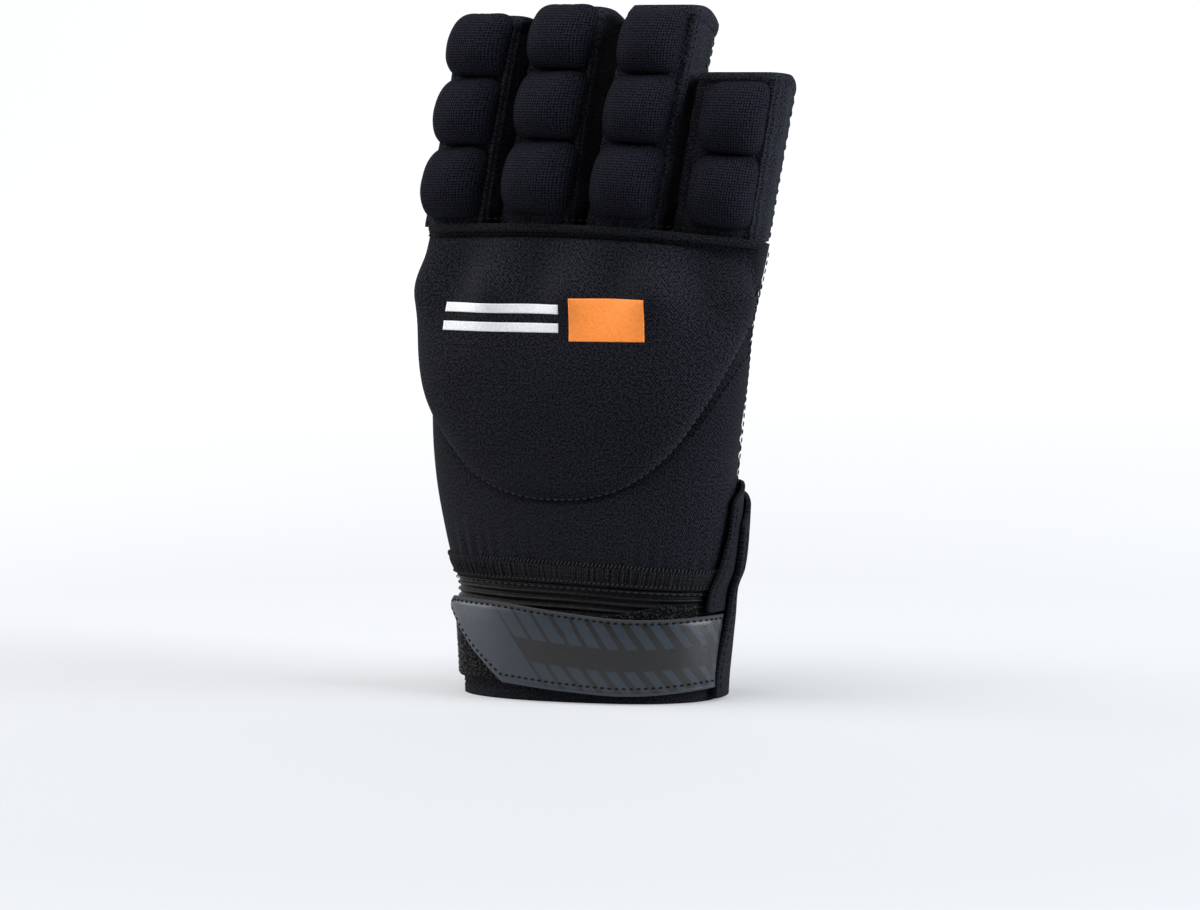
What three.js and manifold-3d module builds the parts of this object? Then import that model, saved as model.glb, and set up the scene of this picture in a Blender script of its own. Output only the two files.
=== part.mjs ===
// A field hockey glove for the right hand, standing on its cuff with the half fingers up.
// Millimetres, +Z up. The back of the hand faces -Y, the palm +Y, and the thumb is on the -X side.
// The origin is on the floor, below the middle of the glove's box.

import * as THREE from 'three';
import { mergeVertices } from 'three/addons/utils/BufferGeometryUtils.js';
import Module from 'manifold-3d';

const wasm = await Module();
wasm.setup();

const { lerp, clamp, smoothstep, degToRad, radToDeg } = THREE.MathUtils;

// Thicknesses
const GAP = 0.3; // between pieces that lie on each other
const HAND_WALL = 2.6; // neoprene of the hand
const WRIST_WALL = 3.2; // neoprene of the wrist band
const STALL_WALL = 2.0; // knitted fabric and neoprene of a finger stall
const THUMB_WALL = 2.0;
const RIM_ROUNDING = 1.0; // off the outer edges of the wrist band

// Heights of the rings that the glove is built up from
const CUFF_RIM = 2.6;
const BAND_TOP = 31.6;
const ELASTIC_TOP = 39.8;
const HEM_TOP = 46.6;
const KNUCKLE_SEAM = 151.8;

// Cross-sections from the cuff to the knuckle seam. centre and halfWidth run across the hand. front is the
// depth to the back of the hand and rear to the palm. squareness 2 is an ellipse. tilt and sag bend a level.
const BODY = [
  { z: 2.6, centre: -2.0, halfWidth: 41.6, front: 24.0, rear: 22.0, squareness: 2.35, tilt: 0, sag: 0 },
  { z: 16, centre: -2.2, halfWidth: 42.0, front: 24.2, rear: 22.4, squareness: 2.35, tilt: -0.01, sag: 0 },
  { z: 31, centre: -2.6, halfWidth: 42.6, front: 24.2, rear: 22.8, squareness: 2.35, tilt: -0.035, sag: 0.6 },
  { z: 40, centre: -2.8, halfWidth: 43.2, front: 24.2, rear: 23.2, squareness: 2.3, tilt: -0.035, sag: 1.2 },
  { z: 47, centre: -3.0, halfWidth: 45.6, front: 25.0, rear: 24.0, squareness: 2.3, tilt: -0.035, sag: 1.6 },
  { z: 58, centre: -3.2, halfWidth: 47.8, front: 25.4, rear: 25.0, squareness: 2.3, tilt: -0.02, sag: 0.8 },
  { z: 72, centre: -3.6, halfWidth: 49.6, front: 25.2, rear: 25.4, squareness: 2.3, tilt: 0, sag: 0 },
  { z: 90, centre: -3.5, halfWidth: 51.4, front: 24.0, rear: 24.6, squareness: 2.3, tilt: 0, sag: 0 },
  { z: 106, centre: -2.6, halfWidth: 52.2, front: 22.6, rear: 22.6, squareness: 2.35, tilt: 0, sag: 0 },
  { z: 122, centre: -1.6, halfWidth: 53.0, front: 21.0, rear: 19.6, squareness: 2.4, tilt: 0, sag: 0 },
  { z: 138, centre: -0.3, halfWidth: 55.0, front: 19.0, rear: 16.0, squareness: 2.5, tilt: -0.015, sag: 1.2 },
  { z: 151.8, centre: 0.4, halfWidth: 56.6, front: 17.6, rear: 13.2, squareness: 2.6, tilt: -0.035, sag: 3 },
];

// Where the back of the hand is sewn to the palm, as an angle round the body: 0 is the little finger's side
// and -90 the back of the hand.
const SIDE_SEAM = { little: 12, thumb: 180, clearance: 1 };

// The four half-finger stalls. x and y are the middle of a stall at its root and at its tip, and turn is how
// far the back of the finger faces towards the thumb. pads gives the heights that a finger's foam pads fill,
// their underside's distance out from the stall and each pad's share of the height. padWidth and padShift run
// across the finger. flare widens the outer side of a stall.
const FINGERS = [
  {
    name: 'index', top: 218.4, turn: 22, flare: 0,
    root: { x: -40.6, y: -0.3, width: 25.6, depth: 24.6, padWidth: 22.6, padShift: -0.4 },
    tip: { x: -29.6, y: 4.8, width: 24.2, depth: 24.0, padWidth: 22.2, padShift: -0.4 },
    pads: { low: 153.9, high: 219.2, out: 1.3, share: [0.353, 0.333, 0.314] },
  },
  {
    name: 'middle', top: 221.2, turn: 12, flare: 0,
    root: { x: -13.6, y: -2.0, width: 26.2, depth: 28.5, padWidth: 24.4, padShift: 0.4 },
    tip: { x: -4.2, y: 5.2, width: 22.8, depth: 25.0, padWidth: 21.4, padShift: -0.4 },
    pads: { low: 155.8, high: 222.0, out: 1.55, share: [0.353, 0.333, 0.314] },
  },
  {
    name: 'ring', top: 221.6, turn: 2, flare: 0,
    root: { x: 13.2, y: -2.0, width: 25.0, depth: 28.5, padWidth: 23.0, padShift: -0.2 },
    tip: { x: 25.0, y: 5.0, width: 24.4, depth: 27.0, padWidth: 20.2, padShift: -1.6 },
    pads: { low: 155.1, high: 220.6, out: 1.65, share: [0.353, 0.333, 0.314] },
  },
  {
    name: 'little', top: 200.6, turn: -5, flare: 2.6,
    root: { x: 40.2, y: 0.6, width: 26.0, depth: 24.4, padWidth: 20.6, padShift: 1.4 },
    tip: { x: 48.0, y: 3.4, width: 26.4, depth: 25.0, padWidth: 20.2, padShift: 1.2 },
    pads: { low: 152.4, high: 197.8, out: 0.55, share: [0.5, 0.5] },
  },
];
const STALL = { squareFront: 4.0, squareRear: 2.6, palmDrop: 9, clearance: 0.5 };
const STALL_SEAM = { angle: 44, spread: 4.5, proud: 1.5 };

// The foam pads on the backs of the fingers. A pad's section goes from its crown over its bulging side to its
// foot. ring is the place in the pad's grid, width a share of its half width, and out the height over the
// stall. The foot is an edge's height over the pad's underside, and fall is the share of its height that
// the pad loses towards its upper and lower ends.
const PAD = { spacing: 0.3, corner: 0.17, edge: 0.5, footWidth: 0.92, fall: 0.35 };
const PAD_CROWN = [
  { ring: 0, width: 0, out: 10.2 },
  { ring: 0.55, width: 0.6, out: 9.7 },
  { ring: 0.85, width: 1, out: 6.4 },
];

// The foam shield over the back of the hand. It thins towards its foot and its head, and has low knuckle
// bumps. fullness, shoulder and corner are powers: the higher, the squarer its section and its outline. Its
// foot leans towards the thumb, between two shares of its height.
const SHIELD = {
  low: 66.8, high: 148.6, halfWidth: 53.4, out: 1.1, edge: 1.2, rise: 8.0,
  lean: { across: -6.0, from: 0.2, to: 0.75 },
  foot: { fade: 48, steepness: 0.8 },
  head: { fade: 20, share: 0.12 },
  fullness: 11, shoulder: 2.6, corner: 2.3,
  bump: { height: 2.2, level: 134.5, reach: 10, pitch: 25.3 },
};

const WELT = { radius: 1.35, out: 2.1, endOut: 1.7, inset: 24 };
const HEM = { gathers: 40, gatherDepth: 0.45, edge: 0.2, belly: 0.8, wall: 3.0 };
const ELASTIC = { ridges: 2, ridgeDepth: 0.5, wall: 2.2 };

// The wrist closure, with angles round the body
const LOOP_PATCH = {
  from: -176, to: -26, low: 6.8, high: 30.6, out: 0.5, thick: 0.85, rise: { height: 5.5, from: -85, to: -35 },
};
const STRAP = {
  from: -158, low: 6.2, high: 31.2, thick: 2.2, out: 1.6, end: 1.4, bevel: 0.6,
  cut: { from: -116, height: 21 },
  sag: { depth: 0.8, angle: -68, tipRise: 3.0, tipAngle: -124, endRise: 1.8, endAngle: -13 },
};
const FLAP = {
  inner: {
    frontLow: -20, frontHigh: -6.5, leanFrom: 30, leanTo: 72, back: 58, low: 33.0, high: 71.5,
    out: 1.6, thick: 1.4, corner: 5,
  },
  outer: {
    frontLow: -12, frontHigh: -0.5, leanFrom: 8, leanTo: 42, back: 66, low: 3.4, high: 68.5,
    out: 3.7, thick: 1.8, corner: 9,
  },
};

// The thumb's stall, which points up and away from the palm
const THUMB = {
  root: new THREE.Vector3(-33, 6, 80), rootRadius: 16.5,
  tip: new THREE.Vector3(-50, 43, 125), tipRadius: 14.2,
};

const MATERIALS = {
  neoprene: new THREE.MeshStandardMaterial({ color: 0x15161a, roughness: 0.82, metalness: 0 }),
  knit: new THREE.MeshStandardMaterial({ color: 0x17181d, roughness: 0.9, metalness: 0 }),
  suede: new THREE.MeshStandardMaterial({ color: 0x1b1c20, roughness: 0.92, metalness: 0 }),
  elastic: new THREE.MeshStandardMaterial({ color: 0x121215, roughness: 0.7, metalness: 0 }),
  loop: new THREE.MeshStandardMaterial({ color: 0x191a1c, roughness: 1, metalness: 0 }),
  strap: new THREE.MeshStandardMaterial({ color: 0x3b4046, roughness: 0.38, metalness: 0 }),
};

// A power of a cosine or sine that keeps its sign, which squares up an ellipse.
const signedPower = (value, power) => Math.sign(value) * Math.abs(value) ** power;

// The evenly spaced numbers from one end to the other, and the evenly spaced angles of a whole turn.
const steps = (from, to, count) => Array.from({ length: count + 1 }, (_, i) => lerp(from, to, i / count));
const round = (count, from = 0) => steps(from, from + 360, count).slice(0, -1);

// A table's row at any height, on a smooth curve through its rows.
function rowAt(table, z) {
  let i = 0;
  while (i < table.length - 2 && z > table[i + 1].z) i += 1;
  const [before, low, high, after] = [-1, 0, 1, 2].map((k) => table[clamp(i + k, 0, table.length - 1)]);
  const span = high.z - low.z;
  const t = clamp((z - low.z) / span, 0, 1);
  const row = {};
  for (const key of Object.keys(low)) {
    const leave = ((high[key] - before[key]) / (high.z - before.z)) * span;
    const arrive = ((after[key] - low[key]) / (after.z - low.z)) * span;
    const bend = t * t * (3 - 2 * t);
    row[key] = lerp(low[key], high[key], bend) + t * (1 - t) * ((1 - t) * leave - t * arrive);
  }
  return row;
}

// A point on a squared oval, out from its rim. angle is in degrees, and -90 is the front.
function rimPoint(oval, angle, out) {
  const NUDGE = 0.01;
  const at = (degrees) => {
    const c = Math.cos(degToRad(degrees));
    const s = Math.sin(degToRad(degrees));
    const power = 2 / (s < 0 ? oval.squareFront : oval.squareRear);
    return [oval.halfWidth * signedPower(c, power), (s < 0 ? oval.front : oval.rear) * signedPower(s, power)];
  };
  const [x, y] = at(angle);
  const [x0, y0] = at(angle - NUDGE);
  const [x1, y1] = at(angle + NUDGE);
  const length = Math.hypot(x1 - x0, y1 - y0);
  return { x: x + (out * (y1 - y0)) / length, y: y - (out * (x1 - x0)) / length, onRim: { x, y } };
}

// A point on the glove's body, out from its surface. The level bends with the tilt and sag of its row.
function bodyPoint(angle, z, out = 0) {
  const row = rowAt(BODY, z);
  const oval = { ...row, squareFront: row.squareness, squareRear: row.squareness };
  const point = rimPoint(oval, angle, out);
  const level = z + row.tilt * (point.onRim.x + row.centre) - row.sag * (point.onRim.x / row.halfWidth) ** 2;
  return new THREE.Vector3(point.x + row.centre, point.y, level);
}

// The angle at which the back of the body has a given place across it.
function angleAcross(x, z) {
  const row = rowAt(BODY, z);
  const share = clamp((x - row.centre) / row.halfWidth, -1, 1);
  return -radToDeg(Math.acos(signedPower(share, row.squareness / 2)));
}

// A point on a finger stall, out from its surface. rise is 0 at the knuckle seam and 1 at the open end.
function stallPoint(finger, angle, rise, out = 0) {
  const { root, tip } = finger;
  const depth = lerp(root.depth, tip.depth, rise);
  const oval = {
    halfWidth: lerp(root.width, tip.width, rise) / 2, front: depth / 2, rear: depth / 2,
    squareFront: STALL.squareFront, squareRear: STALL.squareRear,
  };
  const local = rimPoint(oval, angle, out);
  local.x += finger.flare * Math.max(0, Math.cos(degToRad(angle))) * smoothstep(angle, -STALL_SEAM.angle, 0);
  const turn = degToRad(-finger.turn);
  const x = lerp(root.x, tip.x, rise) + local.x * Math.cos(turn) - local.y * Math.sin(turn);
  const y = lerp(root.y, tip.y, rise * rise) + local.x * Math.sin(turn) + local.y * Math.cos(turn);
  const { tilt, sag, centre, halfWidth } = BODY[BODY.length - 1];
  const foot = KNUCKLE_SEAM + STALL.clearance + tilt * x - sag * ((x - centre) / halfWidth) ** 2;
  const towardsPalm = (local.onRim.y / oval.rear + 1) / 2;
  return new THREE.Vector3(x, y, lerp(foot, finger.top - STALL.palmDrop * towardsPalm ** 2, rise));
}

// A BufferGeometry with its faces pointing out, whichever way its quads were wound.
function closedGeometry(positions, index) {
  let volume = 0;
  const corner = (i) => new THREE.Vector3().fromArray(positions, 3 * i);
  for (let i = 0; i < index.length; i += 3) {
    volume += corner(index[i]).dot(corner(index[i + 1]).cross(corner(index[i + 2])));
  }
  const facing = volume < 0 ? index.toReversed() : index;
  return new THREE.BufferGeometry()
    .setAttribute('position', new THREE.Float32BufferAttribute(positions, 3))
    .setIndex(facing);
}

// A closed wall between two grids of points. Columns run round and rows run up, and a ring joins its last
// column to its first.
function wall(columns, rows, outer, inner, ring = false) {
  const positions = [];
  for (const side of [outer, inner]) {
    for (const row of rows) for (const column of columns) positions.push(...side(column, row).toArray());
  }
  const at = (side, i, j) => side * columns.length * rows.length + j * columns.length + (i % columns.length);
  const index = [];
  const quad = (a, b, c, d) => index.push(a, b, c, a, c, d);
  const spans = ring ? columns.length : columns.length - 1;
  const top = rows.length - 1;
  for (let i = 0; i < spans; i += 1) {
    for (let j = 0; j < top; j += 1) {
      quad(at(0, i, j), at(0, i + 1, j), at(0, i + 1, j + 1), at(0, i, j + 1));
      quad(at(1, i, j), at(1, i, j + 1), at(1, i + 1, j + 1), at(1, i + 1, j));
    }
    quad(at(1, i, 0), at(1, i + 1, 0), at(0, i + 1, 0), at(0, i, 0));
    quad(at(0, i, top), at(0, i + 1, top), at(1, i + 1, top), at(1, i, top));
  }
  for (let j = 0; j < top && !ring; j += 1) {
    quad(at(0, 0, j), at(0, 0, j + 1), at(1, 0, j + 1), at(1, 0, j));
    quad(at(1, spans, j), at(1, spans, j + 1), at(0, spans, j + 1), at(0, spans, j));
  }
  return closedGeometry(positions, index);
}

// A geometry as a solid that can be cut, and back again.
function solidOf(geometry) {
  const merged = mergeVertices(geometry, 1e-4);
  const vertProperties = merged.getAttribute('position').array;
  const triVerts = new Uint32Array(merged.index.array);
  return new wasm.Manifold(new wasm.Mesh({ numProp: 3, vertProperties, triVerts }));
}

function geometryOf(solid) {
  const mesh = solid.getMesh();
  return new THREE.BufferGeometry()
    .setAttribute('position', new THREE.BufferAttribute(mesh.vertProperties, 3))
    .setIndex(new THREE.BufferAttribute(mesh.triVerts, 1));
}

// A round post between two points, used for the thumb's stall and for its bore.
function post(from, to, fromRadius, toRadius, segments = 24) {
  const axis = to.clone().sub(from);
  const turn = new THREE.Quaternion();
  turn.setFromUnitVectors(new THREE.Vector3(0, 1, 0), axis.clone().normalize());
  const geometry = new THREE.CylinderGeometry(toRadius, fromRadius, axis.length(), segments, 3);
  geometry.deleteAttribute('normal');
  geometry.deleteAttribute('uv');
  geometry.translate(0, axis.length() / 2, 0);
  geometry.applyQuaternion(turn);
  return geometry.translate(from.x, from.y, from.z);
}

// The whole space that the hand takes up, out to a little past its surface.
function handVolume(out) {
  const columns = round(40);
  const middle = (z) => new THREE.Vector3(rowAt(BODY, z).centre, 0, z);
  const rows = steps(HEM_TOP, KNUCKLE_SEAM, 8);
  const outside = wall(
    columns, rows, (a, z) => bodyPoint(a, z, out), (a, z) => bodyPoint(a, z, -HAND_WALL), true);
  const inside = post(middle(HEM_TOP), middle(KNUCKLE_SEAM), 1, 1);
  return wasm.Manifold.hull([solidOf(outside), solidOf(inside)]);
}

// The thumb's bore, which runs out past the open end of its stall.
const thumbBore = () => solidOf(post(THUMB.root, THUMB.tip.clone().lerp(THUMB.root, -0.2),
  THUMB.rootRadius - THUMB_WALL, THUMB.tipRadius - THUMB_WALL));

// Half of the hand's wall, with the thumb's hole cut through it.
function handPanel(from, to) {
  const rows = [HEM_TOP + GAP, 52, 60, 70, 84, 102, 120, 138, KNUCKLE_SEAM];
  const panel = wall(
    steps(from, to, 23), rows, (a, z) => bodyPoint(a, z), (a, z) => bodyPoint(a, z, -HAND_WALL));
  return geometryOf(solidOf(panel).subtract(thumbBore()));
}

// How far the foam shield stands off the hand: a soft edge all round, fullest below the knuckle bumps.
function shieldRise(share, z) {
  const { low, high, halfWidth, edge, rise, foot, head, fullness, bump } = SHIELD;
  const sides = Math.sqrt(1 - Math.abs(share) ** fullness);
  const fromFoot = smoothstep(z, low, low + foot.fade) ** foot.steepness;
  const toHead = lerp(1, head.share, smoothstep(z, high - head.fade, high));
  const crests = Math.cos((2 * Math.PI * share * halfWidth) / bump.pitch);
  const knuckles = bump.height * crests * Math.exp(-(((z - bump.level) / bump.reach) ** 2));
  return edge + sides * (rise * fromFoot * toHead + knuckles);
}

function shield() {
  const { low, high, halfWidth, lean, out, shoulder, corner } = SHIELD;
  const spot = (share, z, proud) => {
    const down = (high - z) / (high - low);
    const wide = halfWidth * Math.max(0, 1 - down ** shoulder) ** (1 / corner);
    const x = lean.across * smoothstep(down, lean.from, lean.to) + share * wide;
    return bodyPoint(angleAcross(x, z), z, out + proud);
  };
  const levels = [low + 0.6, low + 1.8, low + 4.5, 78, 90, 102, 114, 124, 133, 141, high];
  const shares = [-1, -0.97, ...steps(-0.88, 0.88, 13), 0.97, 1];
  return wall(
    shares, levels, (share, z) => spot(share, z, shieldRise(share, z)), (share, z) => spot(share, z, 0));
}

// The columns round a stall: even ones, and three across each front seam, where the seam stands proud.
function stallColumns() {
  const seams = [-STALL_SEAM.angle, STALL_SEAM.angle - 180];
  const near = (angle) => seams.some((seam) => Math.abs(angle - seam) < STALL_SEAM.spread + 4);
  const even = round(20, -180).filter((angle) => !near(angle)).map((angle) => ({ angle, proud: 0 }));
  const raised = seams.flatMap((seam) => [-1, 0, 1].map((side) => ({
    angle: seam + side * STALL_SEAM.spread, proud: side === 0 ? STALL_SEAM.proud : 0,
  })));
  return [...even, ...raised].sort((a, b) => a.angle - b.angle);
}

function stall(finger) {
  const outer = (column, rise) => stallPoint(finger, column.angle, rise, column.proud);
  const inner = (column, rise) => stallPoint(finger, column.angle, rise, -STALL_WALL);
  return wall(stallColumns(), steps(0, 1, 4), outer, inner, true);
}

// A point over the back of a stall: across is in millimetres, and out is straight out from the finger's back.
function overStall(finger, across, rise, out) {
  const halfWidth = lerp(finger.root.width, finger.tip.width, rise) / 2;
  const share = clamp(across / halfWidth, -0.98, 0.98);
  const angle = -radToDeg(Math.acos(signedPower(share, STALL.squareFront / 2)));
  const turn = degToRad(finger.turn);
  const outward = new THREE.Vector3(-Math.sin(turn), -Math.cos(turn), 0);
  return stallPoint(finger, angle, rise).addScaledVector(outward, out);
}

// One foam pad: a pillow on the back of a stall, whose sides bulge and whose corners are drawn in.
function fingerPad(finger, number) {
  const { root, tip, pads, top: stallTop } = finger;
  const below = pads.share.slice(0, number).reduce((sum, share) => sum + share, 0);
  const middle = lerp(pads.low, pads.high, below + pads.share[number] / 2);
  const halfHeight = ((pads.high - pads.low) * pads.share[number] - PAD.spacing) / 2;
  const stallFoot = stallPoint(finger, -90, 0).z;
  const riseAt = (z) => (z - stallFoot) / (stallTop - stallFoot);
  const halfWidth = lerp(root.padWidth, tip.padWidth, riseAt(middle)) / 2;
  const shift = lerp(root.padShift, tip.padShift, riseAt(middle));
  const profile = [...PAD_CROWN, { ring: 1, width: PAD.footWidth, out: pads.out + PAD.edge }];
  const spot = (across, up, width, out) => {
    const ring = Math.max(Math.abs(across), Math.abs(up), 1e-6);
    const drawn = (width / ring) * (1 - PAD.corner * ((across * up) / ring ** 2) ** 2);
    const rise = riseAt(middle + up * drawn * halfHeight);
    return overStall(finger, shift + across * drawn * halfWidth, rise, out);
  };
  const top = (across, up) => {
    const ring = Math.max(Math.abs(across), Math.abs(up));
    const { width, out } = profile.find((row) => row.ring === ring);
    const fall = ring > 0 && ring < 1 ? PAD.fall * (up * width / ring) ** 2 : 0;
    return spot(across, up, width, out * (1 - fall));
  };
  const bottom = (across, up) => (
    spot(across, up, PAD.footWidth * Math.max(Math.abs(across), Math.abs(up)), pads.out));
  const rings = profile.map((row) => row.ring);
  const grid = [...rings.toReversed().map((ring) => -ring), ...rings.slice(1)];
  return wall(grid, grid, top, bottom);
}

// The folded welt that covers the knuckle seam across the back of the hand.
function welt() {
  const columns = steps(SIDE_SEAM.thumb - 360 + WELT.inset, SIDE_SEAM.little - WELT.inset, 26);
  const ends = [columns[0], columns[columns.length - 1]];
  const points = columns.map((angle) => (
    bodyPoint(angle, KNUCKLE_SEAM, ends.includes(angle) ? WELT.endOut : WELT.out)));
  const path = new THREE.CatmullRomCurve3(points);
  const section = new THREE.Shape().absarc(0, 0, WELT.radius, 0, 2 * Math.PI);
  const geometry = new THREE.ExtrudeGeometry(section, { extrudePath: path, steps: 26, curveSegments: 4 });
  geometry.deleteAttribute('normal');
  geometry.deleteAttribute('uv');
  return mergeVertices(geometry, 1e-4);
}

// The gathered hem: its outside goes in and out in small pleats.
function gatheredHem() {
  const columns = round(2 * HEM.gathers).map((angle, i) => ({ angle, fold: (i % 2) * 2 - 1 }));
  const rows = [
    { z: ELASTIC_TOP + GAP, out: HEM.edge }, { z: (ELASTIC_TOP + HEM_TOP) / 2, out: HEM.belly },
    { z: HEM_TOP, out: HEM.edge },
  ];
  const outer = ({ angle, fold }, { z, out }) => bodyPoint(angle, z, out + fold * HEM.gatherDepth * out);
  return wall(columns, rows, outer, ({ angle }, { z }) => bodyPoint(angle, z, -HEM.wall), true);
}

// The ribbed elastic: low ridges that run round it.
function elasticBand() {
  const levels = steps(BAND_TOP + GAP, ELASTIC_TOP, 2 * ELASTIC.ridges);
  const rows = levels.map((z, i) => ({ z, proud: (i % 2) - 0.5 }));
  const outer = (angle, { z, proud }) => bodyPoint(angle, z, proud * ELASTIC.ridgeDepth);
  return wall(round(40), rows, outer, (angle, { z }) => bodyPoint(angle, z, -ELASTIC.wall), true);
}

function wristBand() {
  const rows = [CUFF_RIM, CUFF_RIM + RIM_ROUNDING, 16, BAND_TOP - RIM_ROUNDING, BAND_TOP];
  const outer = (angle, z) => bodyPoint(angle, z, z === CUFF_RIM || z === BAND_TOP ? -RIM_ROUNDING : 0);
  return wall(round(44), rows, outer, (angle, z) => bodyPoint(angle, z, -WRIST_WALL), true);
}

function loopPatch() {
  const { from, to, low, high, out, thick, rise } = LOOP_PATCH;
  const spot = (angle, share, proud) => {
    const top = high + rise.height * smoothstep(angle, rise.from, rise.to);
    return bodyPoint(angle, lerp(low, top, share), out + proud);
  };
  return wall(
    steps(from, to, 18), [0, 0.5, 1],
    (angle, share) => spot(angle, share, thick), (angle, share) => spot(angle, share, 0));
}

// A flap's front edge, which leans back towards the top.
const flapFront = ({ frontLow, frontHigh, leanFrom, leanTo }, z) => (
  lerp(frontLow, frontHigh, smoothstep(z, leanFrom, leanTo)));

// How far the flaps stand off the wrist: least at its foot, most at the gathers, and less at their tops.
const flapLooseness = (z) => lerp(0.6, 1, smoothstep(z, 4, 40)) - 0.2 * smoothstep(z, 46, 68);

// The strap: it lies on the loop patch, ends at the outer flap's edge, and has its free end cut slantwise.
function strap() {
  const { from, low, high, thick, out, end, cut, sag } = STRAP;
  const spot = (along, share, proud) => {
    const angle = lerp(flapFront(FLAP.outer, lerp(low, high, share)) - end, from, along);
    const slant = cut.height * clamp((angle - cut.from) / (from - cut.from), 0, 1);
    const lift = sag.tipRise * smoothstep(-angle, -sag.angle, -sag.tipAngle)
      + sag.endRise * smoothstep(angle, sag.angle, sag.endAngle) - sag.depth;
    return bodyPoint(angle, lerp(low + slant, high, share) + lift, out + proud);
  };
  const rims = [0, 0.06, 0.5, 0.94, 1];
  const bevel = (share) => (share === 0 || share === 1 ? STRAP.bevel : 0);
  return wall(
    [...steps(0, 0.95, 26), 0.99, 1], rims,
    (along, share) => spot(along, share, thick - bevel(share)), (along, share) => spot(along, share, 0));
}

// A neoprene flap of the wrist slit, lying round the little finger's side, with its upper corners rounded.
function flap(shape) {
  const spot = (share, up, proud) => {
    const cornerDrop = shape.corner * ((1 - share) ** 6 + share ** 6);
    const z = lerp(shape.low, shape.high - cornerDrop, up);
    return bodyPoint(lerp(flapFront(shape, z), shape.back, share), z, (shape.out + proud) * flapLooseness(z));
  };
  const rows = steps(0, 1, 7);
  const columns = [0, 0.06, 0.17, 0.3, 0.44, 0.58, 0.72, 0.86, 1];
  return wall(columns, rows, (s, up) => spot(s, up, shape.thick), (s, up) => spot(s, up, 0));
}

// The thumb's stall, cut back to where the hand's surface begins.
function thumbStall() {
  const outside = solidOf(post(THUMB.root, THUMB.tip, THUMB.rootRadius, THUMB.tipRadius));
  return geometryOf(outside.subtract(thumbBore()).subtract(handVolume(2 * GAP)));
}

function mesh(name, geometry, material) {
  const made = new THREE.Mesh(geometry, material);
  made.name = name;
  return made;
}

const { thumb, little, clearance } = SIDE_SEAM;
const glove = new THREE.Group();
glove.add(
  mesh('hand_back', handPanel(thumb - 360 + clearance, little - clearance), MATERIALS.neoprene),
  mesh('palm_panel', handPanel(little + clearance, thumb - clearance / 2), MATERIALS.suede),
  mesh('back_shield', shield(), MATERIALS.neoprene),
  mesh('knuckle_welt', welt(), MATERIALS.neoprene),
  mesh('thumb_stall', thumbStall(), MATERIALS.neoprene),
  mesh('gathered_hem', gatheredHem(), MATERIALS.elastic),
  mesh('elastic_band', elasticBand(), MATERIALS.elastic),
  mesh('wrist_band', wristBand(), MATERIALS.neoprene),
  mesh('loop_patch', loopPatch(), MATERIALS.loop),
  mesh('wrist_strap', strap(), MATERIALS.strap),
  mesh('side_flap_inner', flap(FLAP.inner), MATERIALS.neoprene),
  mesh('side_flap_outer', flap(FLAP.outer), MATERIALS.neoprene),
);
for (const finger of FINGERS) {
  const group = new THREE.Group();
  group.add(mesh(`${finger.name}_stall`, stall(finger), MATERIALS.knit));
  for (let number = 0; number < finger.pads.share.length; number += 1) {
    group.add(mesh(`${finger.name}_pad_${number + 1}`, fingerPad(finger, number), MATERIALS.knit));
  }
  glove.add(group);
}

// The glove is moved so that the origin is the middle of its footprint on the floor.
const box = new THREE.Box3().setFromObject(glove, true);
glove.position.set(-(box.min.x + box.max.x) / 2, -(box.min.y + box.max.y) / 2, -box.min.z);

export default glove;
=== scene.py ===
"""A half-finger field hockey glove for the right hand, standing on its cuff."""
import logging
import math
from dataclasses import astuple, dataclass
from enum import Enum
from functools import partial
from typing import Callable, Optional

import bpy
import numpy as np
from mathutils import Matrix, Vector


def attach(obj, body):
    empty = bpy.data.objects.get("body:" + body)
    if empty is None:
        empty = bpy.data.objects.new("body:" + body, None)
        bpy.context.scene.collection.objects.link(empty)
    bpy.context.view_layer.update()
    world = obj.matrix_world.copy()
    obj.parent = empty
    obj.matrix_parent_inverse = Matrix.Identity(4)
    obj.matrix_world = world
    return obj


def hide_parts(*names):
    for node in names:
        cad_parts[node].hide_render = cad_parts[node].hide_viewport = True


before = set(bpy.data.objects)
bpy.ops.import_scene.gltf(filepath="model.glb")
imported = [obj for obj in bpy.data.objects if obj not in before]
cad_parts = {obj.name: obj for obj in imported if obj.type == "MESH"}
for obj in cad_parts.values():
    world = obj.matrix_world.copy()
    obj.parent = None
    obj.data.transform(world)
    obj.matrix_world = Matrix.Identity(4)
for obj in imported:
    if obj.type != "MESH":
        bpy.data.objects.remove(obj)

LOG = logging.getLogger("glove")
Array = np.ndarray
Surface = Callable[[Array, Array], Array]
Colour = tuple[float, float, float]
Socket = bpy.types.NodeSocket

# The glove is worked out in millimetres about its wrist, and this takes it to the frame's origin.
ORIGIN = np.array([-0.51, -10.88, -2.6])
MM = 0.001
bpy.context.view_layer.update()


# Curves and tables

def hermite(table: Array, at: Array) -> Array:
    """Read a table on a smooth curve through its rows.

    Args:
        table: Rows of numbers, the first of each being its place.
        at: The places to read.

    Returns:
        One row of numbers for each place.
    """
    places = table[:, 0]
    low = np.clip(np.searchsorted(places, at, side="left") - 1, 0, len(places) - 2)
    before, after = np.maximum(low - 1, 0), np.minimum(low + 2, len(places) - 1)
    high = low + 1
    span = (places[high] - places[low])[:, None]
    t = np.clip((at[:, None] - places[low][:, None]) / span, 0, 1)
    leave = (table[high] - table[before]) / (places[high] - places[before])[:, None] * span
    arrive = (table[after] - table[low]) / (places[after] - places[low])[:, None] * span
    bend = t * t * (3 - 2 * t)
    return table[low] + (table[high] - table[low]) * bend + t * (1 - t) * ((1 - t) * leave - t * arrive)


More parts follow.
